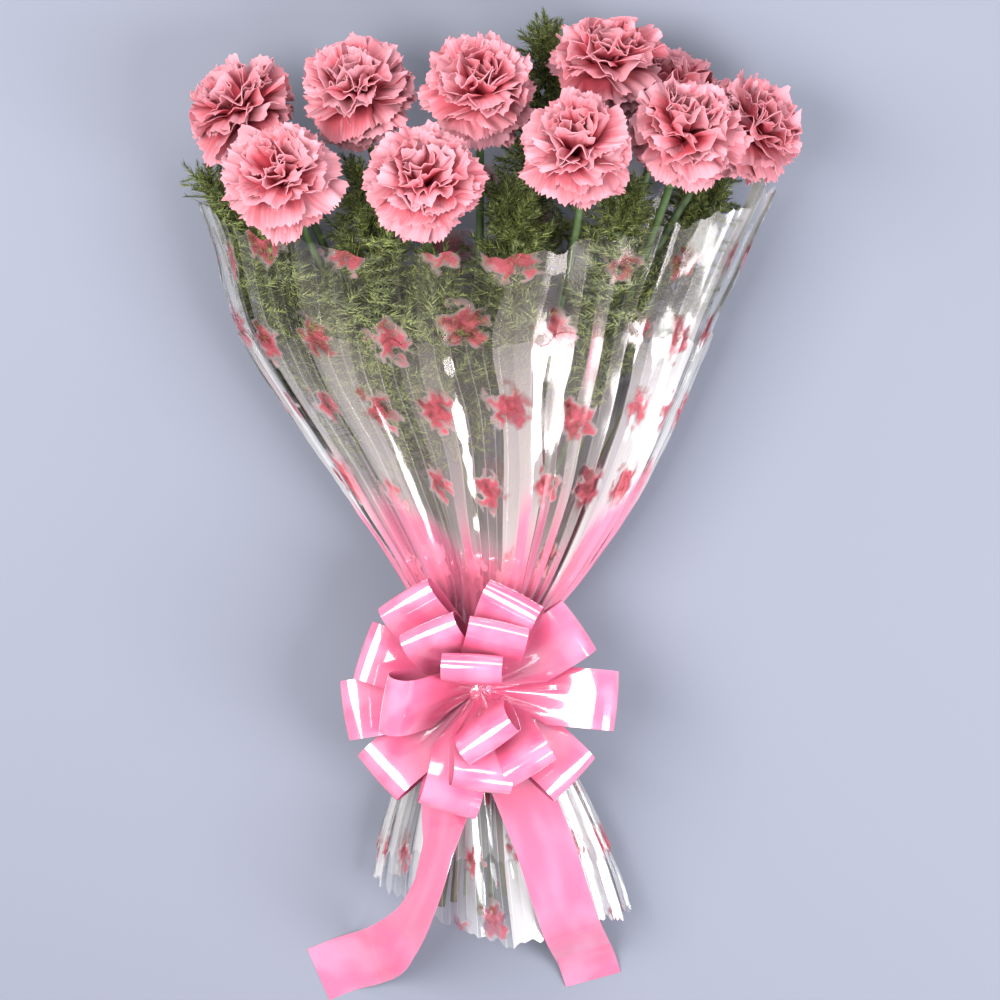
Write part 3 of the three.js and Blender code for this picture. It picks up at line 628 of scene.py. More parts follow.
def place_in_wrap(point, lining):
    """The share of the way from the wrap's middle to its lining, the mouth's y there, and the middle."""
    centre_x, half_x, centre_z, half_z = section(point.y)
    share_x = (point.x - centre_x) / (half_x - lining)
    share_z = (point.z - centre_z) / (half_z - lining)
    middle = Vector((centre_x, point.y, centre_z))
    return math.hypot(share_x, share_z), mouth_y(math.atan2(share_z, share_x)), middle


def kept_in_wrap(point, lining):
    """Moves a point that would pass the film back inside it."""
    share, rim, middle = place_in_wrap(point, lining)
    if share <= 1 or point.y > rim + 6:
        return point
    return middle + (point - middle) / share


print("girth at the tie:", round(math.tau * section(TIE.y)[1]), "mm")

# %% [markdown]
# The two sheets of film
#
# Each sheet is one grid rolled round the bunch and welded at its seam. Fourteen deep folds run from the
# tie to the mouth and the skirt. Between them lie finer ones, which are deepest near the tie, and creases
# by chance that run aslant. Both sheets use the same folds, so they nest. Where the film lies on the
# floor it is flat.

# %% Film sheets
FOLD_STEPS = 16  # grid columns in one fold
FILM_THICK = 0.2
SHEET_STEP = 1.35  # from the outer sheet to the inner one
CREASES = 47
DEEP_FOLD = (0.6, 5)  # at the tie and far from it
FINE_FOLD = (1.5, 0.7)
CRUMPLE = 1.2  # how far the creases by chance move the film


def layers_at(y):
    """How many times the unrolled film lies over itself where it is gathered."""
    _, half_x, _, half_z = section(y)
    girth = math.pi * (3 * (half_x + half_z) - math.sqrt((3 * half_x + half_z) * (half_x + 3 * half_z)))
    return max(SHEET_GIRTH / MM / girth, 1)


def ring_noise(angle, size, height):
    """Chance that joins up round the bunch. A larger size gives shorter waves."""
    return noise.noise(Vector((size * math.cos(angle), size * math.sin(angle), height)))


def fold_depth(angle, y):
    """How far a fold takes the film inwards."""
    away = abs(y - TIE.y)
    lifted = smoothstep(film_point(angle, y, 0).z, 1, 14)
    deep = lerp(*DEEP_FOLD, smoothstep(away, 7, 130))
    wander = 0.22 * math.sin(3 * angle + y / 60)
    fold = 1 - abs(1 - 2 * (PLEATS * angle / math.tau % 1))
    crease = abs(math.sin(CREASES / 2 * angle + 2 * wander))
    fine = lerp(*FINE_FOLD, smoothstep(away, 60, 260))
    drape = noise.noise(Vector((3 * math.cos(angle), y / 45, 3 * math.sin(angle))))
    uneven = 0.85 + 0.35 * ring_noise(angle, 5, y / 200)
    lean = 2.2 * math.sin(2 * angle + 1)  # creases run aslant, each way in turn
    crinkle = ring_noise(angle + y / 260 * lean, 8, y / 32)
    crumpled = CRUMPLE * (abs(drape) + abs(crinkle) * smoothstep(away, 30, 110))
    return (deep * fold * uneven + fine * crease + crumpled) * lifted


def add_film(name, node, rows, start_y, end_y, depth):
    bm = bmesh.new()
    sheet = bm.loops.layers.uv.new("sheet")

    def spot(across, along):
        angle = across * math.tau
        y = lerp(start_y(angle), end_y(angle), along)
        ripple = 7 * ring_noise(angle, 7, 5) - 2
        ripple += 5 * ring_noise(angle, 19, 9)
        y += ripple * (smoothstep(along, 0.9, 1) + 1 - smoothstep(along, 0, 0.1))
        point = film_point(angle, y, depth + fold_depth(angle, y))
        point.z = max(point.z, depth)
        return point

    def marks(across, along):
        angle = across * math.tau
        y = lerp(start_y(angle), end_y(angle), along)
        patch = min(max(0.5 + 0.7 * ring_noise(angle, 3.2, 0.016 * y), 0), 1)
        # painted sheen: the skirt is painted white all round
        if y <= TIE.y:  # the skirt is hazy and white all round
            return {"layers": layers_at(y) ** 1.3, "haze": 1.5, "sheen_white": 0.9, "blush": 0.1, "patch": patch}
        # painted sheen: the flanks get more haze and are painted white
        flank = abs(math.cos(angle)) ** 3
        return {
            "layers": layers_at(y) ** 2,
            "haze": (0.95 + 2.2 * flank) * (1 - 0.65 * smoothstep(y, 150, 230)),
            "sheen_white": flank,
            "blush": smoothstep(150 - y, 0, 95),
            "patch": patch,
        }

    add_sheet(bm, PLEATS * FOLD_STEPS, rows, spot, marks)
    for face in bm.faces:
        for loop in face.loops:
            loop[sheet].uv = (loop[sheet].uv.x, loop.vert.co.y * MM)
    bmesh.ops.remove_doubles(bm, verts=bm.verts, dist=1e-3)
    thicken(bm, FILM_THICK)
    for face in bm.faces:
        middle = face.calc_center_median()
        centre_x, _, centre_z, _ = section(middle.y)
        outward = middle - Vector((centre_x, middle.y, centre_z))
        face.material_index = int(face.normal.dot(outward) < 0)
    piece = finish_piece(name, bm, [node], FILM)
    piece.data.materials.append(FILM_INSIDE)
    return piece


film_pieces = [
    add_film("film_outer", "wrap_outer", 62, lambda angle: -110, lambda angle: 196, 0),
    add_film("film_inner", "wrap_inner", 88, skirt_y, mouth_y, SHEET_STEP),
]
print("film triangles:", triangles(film_pieces))

# %% [markdown]
# Stems
#
# Each stem is a tube along a smooth path: spread at its cut end, square to the tie where all ten lie
# side by side, and turning to the flower's own axis under the head. It swells at a joint, where a pair
# of narrow leaves starts, and widens into the calyx, a green cup whose five teeth hold the petals.

# %% Flowers and paths
# head centre, lean to the right and rise off the floor in degrees, place in the bundle, turn
FLOWERS = [
    {"at": (-134, 319, 62), "lean": -35, "rise": 20, "row": 0, "place": -1.5, "turn": 10},
    {"at": (-69, 330, 70), "lean": -12, "rise": 38, "row": -1, "place": -1, "turn": 40},
    {"at": (-109, 285, 108), "lean": -18, "rise": 52, "row": 1, "place": -1, "turn": 5},
    {"at": (-31, 283, 125), "lean": -2, "rise": 55, "row": 1, "place": 0, "turn": 30},
    {"at": (-1, 331, 95), "lean": 0, "rise": 46, "row": 0, "place": -0.5, "turn": 20},
    {"at": (69, 345, 80), "lean": 8, "rise": 25, "row": -1, "place": 0, "turn": 50},
    {"at": (105, 327, 40), "lean": 15, "rise": 8, "row": -1, "place": 1, "turn": 0},
    {"at": (51, 301, 122), "lean": -6, "rise": 48, "row": 0, "place": 0.5, "turn": 15},
    {"at": (109, 309, 112), "lean": 12, "rise": 36, "row": 1, "place": 1, "turn": 35},
    {"at": (148, 309, 64), "lean": 42, "rise": 25, "row": 0, "place": 1.5, "turn": 25},
]
STEM_RADIUS = 2.2
STEM_PITCH = 5.05
FOOT_Y = -138
CALYX_LENGTH = 26
CALYX_MOUTH = -12  # from the head's centre along the flower's axis
JOINT_SEARCH = 3.6  # a point of the solid farther than this from the path belongs to a leaf
NECK_BEND = 0.17


class Path:
    """Points along a curve, found by their distance from its start."""

    def __init__(self, points):
        self.points = points
        self.ends = [0]
        for a, b in zip(points, points[1:]):
            self.ends.append(self.ends[-1] + (b - a).length)
        self.length = self.ends[-1]

    def at(self, distance):
        k = min(max(bisect_right(self.ends, distance) - 1, 0), len(self.points) - 2)
        span = self.ends[k + 1] - self.ends[k]
        return self.points[k].lerp(self.points[k + 1], (distance - self.ends[k]) / span)

    def along(self, distance):
        reach = 0.004 * self.length
        ahead, behind = min(distance + reach, self.length), max(distance - reach, 0)
        return (self.at(ahead) - self.at(behind)).normalized()


def axis_of(flower):
    lean, rise = math.radians(flower["lean"]), math.radians(flower["rise"])
    return Vector((math.sin(lean) * math.cos(rise), math.cos(lean) * math.cos(rise), math.sin(rise)))


def stem_path(flower):
    """From the cut end through the tie to the calyx. Each stem is cut at its own length."""
    axis, head = axis_of(flower), Vector(flower["at"])
    base = head + axis * (CALYX_MOUTH - CALYX_LENGTH)
    across, up = flower["place"] * STEM_PITCH, flower["row"] * STEM_PITCH * 0.866
    waist = Vector((across, TIE.y, TIE.z + up))
    foot = Vector((across * 3 - 2, FOOT_Y - flower["turn"] % 17, TIE.z + up * 1.8))
    along = Vector((across * 0.012, 1, up * 0.006)).normalized()
    neck = base - axis * (waist - base).length * NECK_BEND
    lower = interpolate_bezier(foot, foot.lerp(waist, 0.4), waist - along * 32, waist, 40)
    upper = interpolate_bezier(waist, waist + along * 55, neck, base, 80)
    calyx = [base + axis * CALYX_LENGTH * k / 8 for k in range(1, 9)]
    return Path([p.copy() for p in lower + upper[1:]] + calyx)


stem_paths = [stem_path(flower) for flower in FLOWERS]
print("stem lengths:", [round(path.length) for path in stem_paths])

# %% [markdown]
# A tube is a sheet rolled up: the share across the grid becomes the turn round the path. The side
# direction is carried along the path from one ring to the next, so the tube doesn't twist.

# %% Tubes
def add_tube(bm, path, sides, stops, radius, marks=None, reach=None):
    """A closed tube along a path. stops are distances, and radius gives the size at each."""
    rings = []
    side = Vector((0.31, 0.05, 0.95))
    for stop in stops:
        along = path.along(stop)
        side = (side - along * side.dot(along)).normalized()
        rings.append((path.at(stop), along, side, along.cross(side), radius(stop)))

    def spot(across, share):
        centre, along, side, up, size = rings[round(share * (len(rings) - 1))]
        angle = across * math.tau
        forward = reach(round(share * (len(rings) - 1)), across) if reach else 0
        return centre + (side * math.cos(angle) + up * math.sin(angle)) * size + along * forward

    verts = add_sheet(bm, sides, len(rings) - 1, spot, marks)
    bmesh.ops.remove_doubles(bm, verts=verts, dist=1e-3)
    open_edges = [edge for edge in bm.edges if edge.is_boundary]
    bmesh.ops.holes_fill(bm, edges=open_edges, sides=0)


def joint_distance(path, number):
    """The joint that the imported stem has, found where its solid is thickest before the calyx."""
    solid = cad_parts[f"stem_{number:02d}"]
    best, found = STEM_RADIUS * 1.3, None
    spots = [FRAME_TO_PLAN @ vert.co for vert in solid.data.vertices]
    start, end = (TIE - path.points[0]).length + 40, path.length - CALYX_LENGTH - 10
    for step in range(int(start), int(end), 2):
        centre, along = path.at(step), path.along(step)
        offsets = [p - centre for p in spots]
        near = [o.length for o in offsets if abs(o.dot(along)) < 1 and o.length < JOINT_SEARCH]
        if near and max(near) > best:
            best, found = max(near), step
    return found or (start + end) / 2


joints = [joint_distance(path, k + 1) for k, path in enumerate(stem_paths)]
print("joints at:", [round(joint) for joint in joints])

# %% [markdown]
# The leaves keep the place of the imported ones: the farthest points of the solid on each side of the
# joint say which way a leaf goes and how long it is. Each is a narrow grooved blade that tapers to a
# point and curls at its tip.

# %% Stems with leaves and calyx
LEAF_WIDTH = 5.5
LEAF_THICK = 0.5
CALYX_TEETH = 5
CALYX_WIDE = 4.7  # radius just above the stem
LEAF_OUT = (20, 27)  # where the tip of a packed leaf is, outwards and forwards from its joint
LEAF_AHEAD = (15, 70)
SWELLING = 0.42  # of the stem's radius


def leaf_directions(path, joint, number):
    """Outward direction and length of each leaf of a packed stem."""
    spot, along = path.at(joint), path.along(joint)
    found = []
    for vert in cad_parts[f"stem_{number:02d}"].data.vertices:
        offset = FRAME_TO_PLAN @ vert.co - spot
        forward = offset.dot(along)
        outward = offset - along * forward
        if not LEAF_OUT[0] < outward.length < LEAF_OUT[1] or not LEAF_AHEAD[0] < forward < LEAF_AHEAD[1]:
            continue
        if all(outward.normalized().dot(other) < 0.5 for other, _ in found):
            found.append((outward.normalized(), forward))
    return found


def add_leaf(bm, path, joint, outward, length, lift):
    spot, along = path.at(joint), path.along(joint)
    across = along.cross(outward).normalized()

    def blade(side, t):
        width = LEAF_WIDTH * (0.75 + 0.9 * t - 1.58 * t * t) * (1 if t < 0.93 else (1.001 - t) / 0.07)
        groove = -1.1 * (1 - (2 * side - 1) ** 2) * (1 - t)
        bend = outward * (0.6 + 20 * t + 4 * t * t + groove)
        return spot + along * (length * t) + bend + across * (side - 0.5) * width + outward * lift

    add_sheet(bm, 6, 22, blade, lambda side, t: {"joint": 1 - smoothstep(t, 0, 0.2)})


def add_stem(number, path, joint):
    bm = bmesh.new()
    neck = path.length - CALYX_LENGTH
    for outward, length in leaf_directions(path, joint, number):
        add_leaf(bm, path, joint, outward, length, 0)
    if bm.faces:
        thicken(bm, LEAF_THICK)
    stops = [neck * k / 70 for k in range(71)]
    stops = [s for s in stops if abs(s - joint) > 4] + [joint - 4, joint - 2, joint, joint + 2, joint + 4]
    stops = sorted(stops) + [neck + d for d in (1, 2.5, 4, 7, 11, 15, 19, 22, 24, 26)]

    def radius(stop):
        past = stop - neck
        if past > 0:
            return lerp(STEM_RADIUS, CALYX_WIDE, smoothstep(past, 0, 4)) + 0.08 * max(past - 4, 0)
        return STEM_RADIUS * (1 + SWELLING * math.exp(-(((stop - joint) / 2.6) ** 2)))

    def teeth(k, across):
        pointed = 1 - abs(2 * (across * CALYX_TEETH % 1) - 1)
        return (pointed * 4.5 - 3.5) * (1 if k == len(stops) - 1 else 0.35 if k == len(stops) - 2 else 0)

    def marks(across, share):
        stop = stops[round(share * (len(stops) - 1))]
        return {"joint": math.exp(-(((stop - joint) / 4) ** 2))}

    add_tube(bm, path, 10, stops, radius, marks, teeth)
    return finish_piece(f"stem_{number:02d}_green", bm, [f"stem_{number:02d}"], STEM)


stem_pieces = [add_stem(k + 1, stem_paths[k], joints[k]) for k in range(len(FLOWERS))]
print("stem triangles:", triangles(stem_pieces))

# %% [markdown]
# Flower heads
#
# A florist's carnation is a full double flower. Some forty petals leave the calyx on narrow claws and
# open into fans, the outer ones past level, the inner ones nearly upright. Each fan is ruffled and
# toothed, because its edge is longer than the space that it has. A petal is one sheet here: its middle
# line bends outwards, its width opens like a fan, and waves that grow towards the edge crumple it.
#
# Neighbouring heads press on each other, so each head has a cell. Its walls are the planes halfway to
# the next heads, and a point that nears a wall is eased back from it.

# %% Petal shape
# count, angle off the flower's axis, length, width of the fan, waves across it and their height, cupping
PETAL_RINGS = [
    {"count": 6, "angle": 126, "length": 29, "width": 32, "waves": 0.9, "ruffle": 2.4, "cup": -3},
    {"count": 7, "angle": 103, "length": 32, "width": 34, "waves": 1.0, "ruffle": 3.0, "cup": -2},
    {"count": 7, "angle": 84, "length": 33, "width": 34, "waves": 1.2, "ruffle": 3.8, "cup": 2},
    {"count": 7, "angle": 65, "length": 33, "width": 33, "waves": 1.4, "ruffle": 4.4, "cup": 4},
    {"count": 6, "angle": 47, "length": 32, "width": 32, "waves": 1.5, "ruffle": 5.0, "cup": 6},
    {"count": 5, "angle": 30, "length": 31, "width": 30, "waves": 1.7, "ruffle": 5.4, "cup": 8},
    {"count": 3, "angle": 11, "length": 28, "width": 27, "waves": 1.9, "ruffle": 5.4, "cup": 9},
]
FRILL = 1.7  # short waves at the very edge
PETAL_COLUMNS = 28
PETAL_ROWS = 6
PETAL_THICK = 0.3
ROOT_DEPTH = 11  # below the head's centre along the flower's axis
TIP_DEPTH = 3
KNEE = 0.58  # share of a petal's length at which it bends outwards
TOOTH = 0.8
RIM_ARC = 0.13  # how much shorter a petal's corners are than its middle
SLANT = 13  # degrees that a petal may leave its ring's angle
PETAL_CRUMPLE = 2.8
CELL_REACH = 76  # heads nearer than this press on each other
CELL_GAP = 0.9
CELL_SOFT = 6
BOX_SOFT = 4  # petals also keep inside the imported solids' own box

noise.seed_set(5)  # noise_vector would otherwise crumple the petals in another way each run


def head_cell(flower):
    """The planes that a head's petals keep behind, each with the depth over which a point is eased."""
    head = Vector(flower["at"])
    walls = []
    for other in FLOWERS:
        away = Vector(other["at"]) - head
        if other is flower or away.length > CELL_REACH:
            continue
        normal = away.normalized()
        walls.append((normal, normal.dot(head) + away.length / 2 - CELL_GAP, CELL_SOFT))
    for corner, sign in ((FRAME_TO_PLAN @ cad_box[0], -1), (FRAME_TO_PLAN @ cad_box[1], 1)):
        for normal in (Vector((sign, 0, 0)), Vector((0, sign, 0)), Vector((0, 0, sign))):
            walls.append((normal, normal.dot(corner), BOX_SOFT))
    return walls


def eased_in_cell(point, walls):
    for normal, limit, soft in walls:
        room = limit - point.dot(normal)
        if room < soft:
            point = point + normal * (room - soft * math.exp((room - soft) / soft))
    return point


def over_rim(point):
    """Lets a petal that is wider than the wrap rest on the film's rim, instead of passing through it."""
    share, mouth, _ = place_in_wrap(point, 0)
    rim = mouth + 2
    outside = smoothstep(share, 0.86, 0.97)
    if point.y >= rim or outside == 0:
        return point
    rested = rim + 3 * (math.exp((point.y - rim) / 6) - 1)
    return Vector((point.x, lerp(point.y, rested, outside), point.z))


def cross_axes(axis):
    side = Vector((0, 0, 1)).cross(axis).normalized()
    return side, axis.cross(side)


def add_petal(bm, flower, ring, around, draw, walls):
    axis, head = axis_of(flower), Vector(flower["at"])
    side, up = cross_axes(axis)
    outward = side * math.cos(around) + up * math.sin(around)
    tangent = axis.cross(outward)
    tilt = math.radians(ring["angle"] + draw.uniform(-SLANT, SLANT))
    along = axis * math.cos(tilt) + outward * math.sin(tilt)
    length = ring["length"] * draw.uniform(0.86, 1.04)
    root = head - axis * ROOT_DEPTH + outward * 1.5 + tangent * draw.uniform(-1.5, 1.5)
    tip = head - axis * TIP_DEPTH + along * length
    knee = root + axis * (tip - root).length * KNEE
    phases = [draw.uniform(0, math.tau) for _ in range(3)]
    teeth = [draw.uniform(0.25, 1) for _ in range(PETAL_COLUMNS + 1)]
    tone = draw.random()
    twist = draw.uniform(-0.35, 0.35)
    ruffle = ring["ruffle"] * draw.uniform(0.7, 1.35)
    frills = draw.uniform(11, 15)
    wander = Vector((draw.uniform(0, 99), draw.uniform(0, 99), draw.uniform(0, 99)))
    tips = [draw.uniform(-0.07, 0.05) for _ in range(2)]

    def fan(across, t):
        s = 2 * across - 1
        column = round(across * PETAL_COLUMNS)
        rim = 1 - RIM_ARC * s * s + (tips[0] if s < 0 else tips[1]) * abs(s)
        reach = t * rim
        if t > 0.999:
            reach += (TOOTH / length) * teeth[column] * (1 if column % 2 else -0.6)
        bend = root.lerp(knee, reach).lerp(knee.lerp(tip, reach), reach)
        forward = ((knee - root) * (1 - reach) + (tip - knee) * reach).normalized()
        normal = forward.cross(tangent)
        half = ring["width"] / 2 * (0.07 + 0.93 * smoothstep(reach, -0.15, 0.95))
        edge = reach ** 1.6
        waves = ring["waves"] * math.pi * s
        lift = math.sin(waves + phases[0]) * 0.62 + math.sin(waves * 1.9 + phases[1]) * 0.38
        lift = lift * ruffle * edge + ring["cup"] * s * s * reach
        sway = math.cos(waves + phases[2]) * 0.30 * ruffle * edge
        point = bend + tangent * (s * half + sway + twist * half * reach) + normal * lift
        crumple = noise.noise_vector(point / 9 + wander) * (PETAL_CRUMPLE * edge)
        frill = normal * (FRILL * math.sin(frills * s + phases[2] * 3) * reach ** 5)
        return eased_in_cell(over_rim(point + crumple + frill), walls)

    def marks(across, t):
        return {"edge": t, "across": across, "tone": tone}

    add_sheet(bm, PETAL_COLUMNS, PETAL_ROWS, fan, marks)


def add_bloom(number, flower):
    bm = bmesh.new()
    draw = random.Random(number * 31)
    walls = head_cell(flower)
    for k, ring in enumerate(PETAL_RINGS):
        start = math.radians(flower["turn"] + 37 * k)
        for i in range(ring["count"]):
            around = start + math.tau * (i + draw.uniform(-0.3, 0.3)) / ring["count"]
            add_petal(bm, flower, ring, around, draw, walls)
    thicken(bm, PETAL_THICK)
    return finish_piece(f"bloom_{number:02d}_petals", bm, [f"bloom_{number:02d}"], PETAL)


bloom_pieces = [add_bloom(k + 1, flower) for k, flower in enumerate(FLOWERS)]
print("petal triangles:", triangles(bloom_pieces))

# %% [markdown]
# Fern
#
# The filler is asparagus fern. Its green is not in leaves but in thousands of fine soft needles, set all
# round hair-thin twigs. Three twigs are made once, each with its needles. Every spray then carries many
# turned and scaled copies of them along the leafy end of its stem.

# %% Fern twigs
NEEDLE_RADIUS = 0.44
TWIG_LENGTH = 24
TWIG_NEEDLES = 38
NEEDLE_LENGTHS = (10, 5.6)  # at a twig's foot and at its tip
NEEDLE_LEANS = (56, 28)  # degrees off the twig, in the same way
PLUME_LENGTH = 35
NEXT_TURN = 2.4  # radians from one needle or plume to the next, which spreads them evenly


def mesh_from(bm, name):
    mesh = bpy.data.meshes.new(name)
    bm.to_mesh(mesh)
    bm.free()
    return mesh


def make_twig(seed):
    """A twig along +Z with needles on all sides, longest near its foot."""
    draw = random.Random(seed)
    bm = bmesh.new()
    tone = bm.verts.layers.float.new("tone")
    stalk = Matrix.Translation((0, 0, TWIG_LENGTH / 2))
    bmesh.ops.create_cone(
        bm, cap_ends=True, segments=3, radius1=0.4, radius2=0, depth=TWIG_LENGTH, matrix=stalk)
    for k in range(TWIG_NEEDLES):
        share = 0.08 + 0.92 * k / TWIG_NEEDLES
        length = lerp(*NEEDLE_LENGTHS, share) * draw.uniform(0.75, 1.1)
        turn = Matrix.Rotation(k * NEXT_TURN + draw.uniform(-0.3, 0.3), 4, "Z")
        lean = Matrix.Rotation(math.radians(lerp(*NEEDLE_LEANS, share) + draw.uniform(-9, 9)), 4, "Y")
        foot = Matrix.Translation((0, 0, TWIG_LENGTH * share - 0.3))
        place = foot @ turn @ lean @ Matrix.Translation((0, 0, length / 2))
        needle = bmesh.ops.create_cone(
            bm, cap_ends=True, segments=3, radius1=NEEDLE_RADIUS, radius2=0, depth=length, matrix=place)
        shade = draw.random() ** 1.6
        for vert in needle["verts"]:
            vert[tone] = shade
    return mesh_from(bm, f"twig_{seed}")


def add_copy(bm, mesh, place):
    copy = mesh.copy()
    copy.transform(place)
    bm.from_mesh(copy)
    bpy.data.meshes.remove(copy)


def aimed(spot, direction, spin, scale):
    """The matrix that puts a copy along +Z at a spot, pointing in a direction."""
    place = Matrix.Translation(spot) @ direction.to_track_quat("Z", "X").to_matrix().to_4x4()
    return place @ Matrix.Rotation(spin, 4, "Z") @ Matrix.Scale(scale, 4)


def make_plume(seed, twigs):
    """A side branch along +Z: a middle twig and six shorter ones on alternate sides."""
    draw = random.Random(seed)
    bm = bmesh.new()
    add_copy(bm, twigs[0], Matrix.Translation((0, 0, 11)))
    stalk = Matrix.Translation((0, 0, 6))
    bmesh.ops.create_cone(bm, cap_ends=True, segments=3, radius1=0.6, radius2=0.45, depth=14, matrix=stalk)
    for k in range(6):
        around = k * math.pi + draw.uniform(-0.6, 0.6)
        lean = math.radians(draw.uniform(42, 58))
        level = Vector((math.cos(around), math.sin(around), 0))
        direction = level * math.sin(lean) + Vector((0, 0, math.cos(lean)))
        spot = Vector((0, 0, 2 + 3.6 * k))
        twig = draw.choice(twigs)
        add_copy(bm, twig, aimed(spot, direction, draw.uniform(0, math.tau), lerp(0.95, 0.6, k / 5)))
    for vert in bm.verts:
        vert.co.x += 0.0035 * vert.co.z ** 2
    return mesh_from(bm, f"plume_{seed}")


twigs = [make_twig(seed) for seed in (3, 5, 8)]
plumes = [make_plume(seed, twigs) for seed in (2, 4, 9)]
print("triangles in a plume:", sum(len(p.vertices) - 2 for p in plumes[0].polygons))

# %% [markdown]
# A spray's stem starts between the flower stems and the film, passes the tie in a ring round the bundle,
# and then follows a few points inside the wrap. Its twigs stay clear of the flower heads, and needles
# that would pass through the film are laid along its inside, as the real film presses them.

# %% Fern sprays
FERN_RING = 12.05
FERN_RADIUS = 0.85
WRAP_LINING = 8
# place round the bundle in degrees, foot, leafy length, then shares of the wrap's width and height at a y
FERNS = [
    {"place": 192, "foot": -80, "leafy": 122,
     "via": [(-0.72, 90, -0.38), (-0.82, 170, -0.28), (-0.9, 235, -0.05), (-1.0, 288, 0.12)]},
    {"place": 155, "foot": -72, "leafy": 124,
     "via": [(-0.6, 90, 0.35), (-0.7, 160, 0.36), (-0.76, 215, 0.34), (-0.8, 266, 0.36)]},
    {"place": 134, "foot": -92, "leafy": 128,
     "via": [(-0.38, 90, 0.5), (-0.42, 160, 0.55), (-0.42, 240, 0.6), (-0.43, 296, 0.65)]},
    {"place": 116, "foot": -66, "leafy": 104,
     "via": [(-0.4, 80, 0.66), (-0.52, 150, 0.64), (-0.62, 230, 0.58)]},
    {"place": 97, "foot": -84, "leafy": 110,
     "via": [(-0.12, 80, 0.78), (-0.18, 150, 0.78), (-0.2, 246, 0.74)]},
    {"place": 75, "foot": -70, "leafy": 124,
     "via": [(0.12, 80, 0.72), (0.14, 170, 0.68), (0.12, 240, 0.66), (0.07, 286, 0.66)]},
    {"place": 270, "foot": -75, "leafy": 140,
     "via": [(0.04, 90, -0.72), (0.16, 200, -0.65), (0.22, 320, -0.1), (0.2, 372, 0.1)]},
    {"place": 42, "foot": -86, "leafy": 122,
     "via": [(0.48, 90, 0.5), (0.58, 160, 0.54), (0.52, 230, 0.6), (0.5, 286, 0.58)]},
    {"place": 344, "foot": -78, "leafy": 124,
     "via": [(0.66, 90, -0.6), (0.8, 170, -0.46), (0.82, 258, -0.42), (0.85, 298, -0.45)]},
]
PLUME_EVERY = 3.3
SPRAY_TIP = 16  # the last plume's foot is this far from the end of the path
HEAD_ROOM = 20  # plumes end at least this far from a head's centre


def curve_through(points, steps=14):
    """A smooth curve through points, with its speed evened by the distance between them."""
    ends = [points[0] * 2 - points[1]] + points + [points[-1] * 2 - points[-2]]
    made = []
    for k in range(1, len(ends) - 2):
        four = ends[k - 1:k + 3]
        gaps = [max((b - a).length ** 0.5, 1e-4) for a, b in zip(four, four[1:])]
        slopes = []
        for i in (1, 2):
            before, after = (four[i] - four[i - 1]) / gaps[i - 1], (four[i + 1] - four[i]) / gaps[i]
            whole = (four[i + 1] - four[i - 1]) / (gaps[i - 1] + gaps[i])
            slopes.append((before - whole + after) * gaps[1])
        start, end = four[1] + slopes[0] / 3, four[2] - slopes[1] / 3
        made += [p.copy() for p in interpolate_bezier(four[1], start, end, four[2], steps + 1)[:-1]]
    return Path(made + [points[-1].copy()])


def fern_path(fern):
    around = math.radians(fern["place"])
    outward = Vector((math.cos(around), 0, math.sin(around)))
    waist = TIE + outward * FERN_RING
    foot = Vector((24 * outward.x, fern["foot"], TIE.z + 15 * outward.z))
    before = waist + outward * 0.15 - Vector((0, 11, 0))
    after = waist + outward * 0.8 + Vector((0, 15, 0))
    points = [foot, before, waist, after]
    for share_x, y, share_z in fern["via"]:
        centre_x, half_x, centre_z, half_z = section(y)
        points.append(Vector((
            centre_x + share_x * (half_x - WRAP_LINING), y, centre_z + share_z * (half_z - WRAP_LINING))))
    return curve_through(points)


def is_free(point):
    return all((point - Vector(flower["at"])).length > HEAD_ROOM for flower in FLOWERS)


def add_spray(number, fern):
    bm = bmesh.new()
    draw = random.Random(number * 17)
    path = fern_path(fern)
    stops = [path.length * k / 60 for k in range(61)]
    add_tube(bm, path, 5, stops, lambda stop: lerp(FERN_RADIUS, 0.35, stop / path.length),
             lambda across, share: {"tone": 0.55})
    end = path.length - SPRAY_TIP
    count = int(fern["leafy"] / PLUME_EVERY)
    for k in range(count):
        share = k / (count - 1)
        stop = end - fern["leafy"] * (1 - share ** 0.7)
        spot, along = path.at(stop), path.along(stop)
        side, up = cross_axes(along)
        around = k * NEXT_TURN + draw.uniform(-0.5, 0.5)
        lean = math.radians(lerp(64, 24, share) + draw.uniform(-8, 8))
        away = side * math.cos(around) + up * math.sin(around)
        direction = along * math.cos(lean) + away * math.sin(lean)
        scale = lerp(1.12, 0.62, share ** 2) * draw.uniform(0.85, 1.12)
        if is_free(spot + direction * PLUME_LENGTH * scale):
            add_copy(bm, draw.choice(plumes), aimed(spot, direction, draw.uniform(0, math.tau), scale))
    add_copy(bm, twigs[0], aimed(path.at(end - 2), path.along(end), 0, 0.7))
    for vert in bm.verts:
        vert.co = kept_in_wrap(vert.co, WRAP_LINING)
    return finish_piece(f"fern_{number:02d}_needles", bm, [f"fern_{number:02d}"], FERN)


fern_pieces = [add_spray(k + 1, fern) for k, fern in enumerate(FERNS)]
print("fern triangles:", triangles(fern_pieces))

# %% [markdown]
# The bow
#
# A pull bow is one length of ribbon drawn up on two strings into a ball of loops. Each loop goes out
# from the knot, turns over in a rounded bend and comes back, narrow at the knot and at full width at the
# bend. Here a loop is a sheet that follows such a middle line, slightly cupped, with soft gathers near
# the knot.

# %% Bow
RIBBON_WIDTH = 34
RIBBON_THICK = 0.35
KNOT = Vector((-2, -10, 53.5))
KNOT_RADIUS = 7.5
KNOT_UNDERSIDE = 46.1
LOOP_HALF = 11
LOOP_ROLL = 20  # degrees that a loop may lean to its side
KNOT_SHARE = 0.2  # of the ribbon's width, at the knot
FULL_WIDTH_AT = 0.52  # share of a loop's reach
GATHER = 0.9
CUP = 0.8
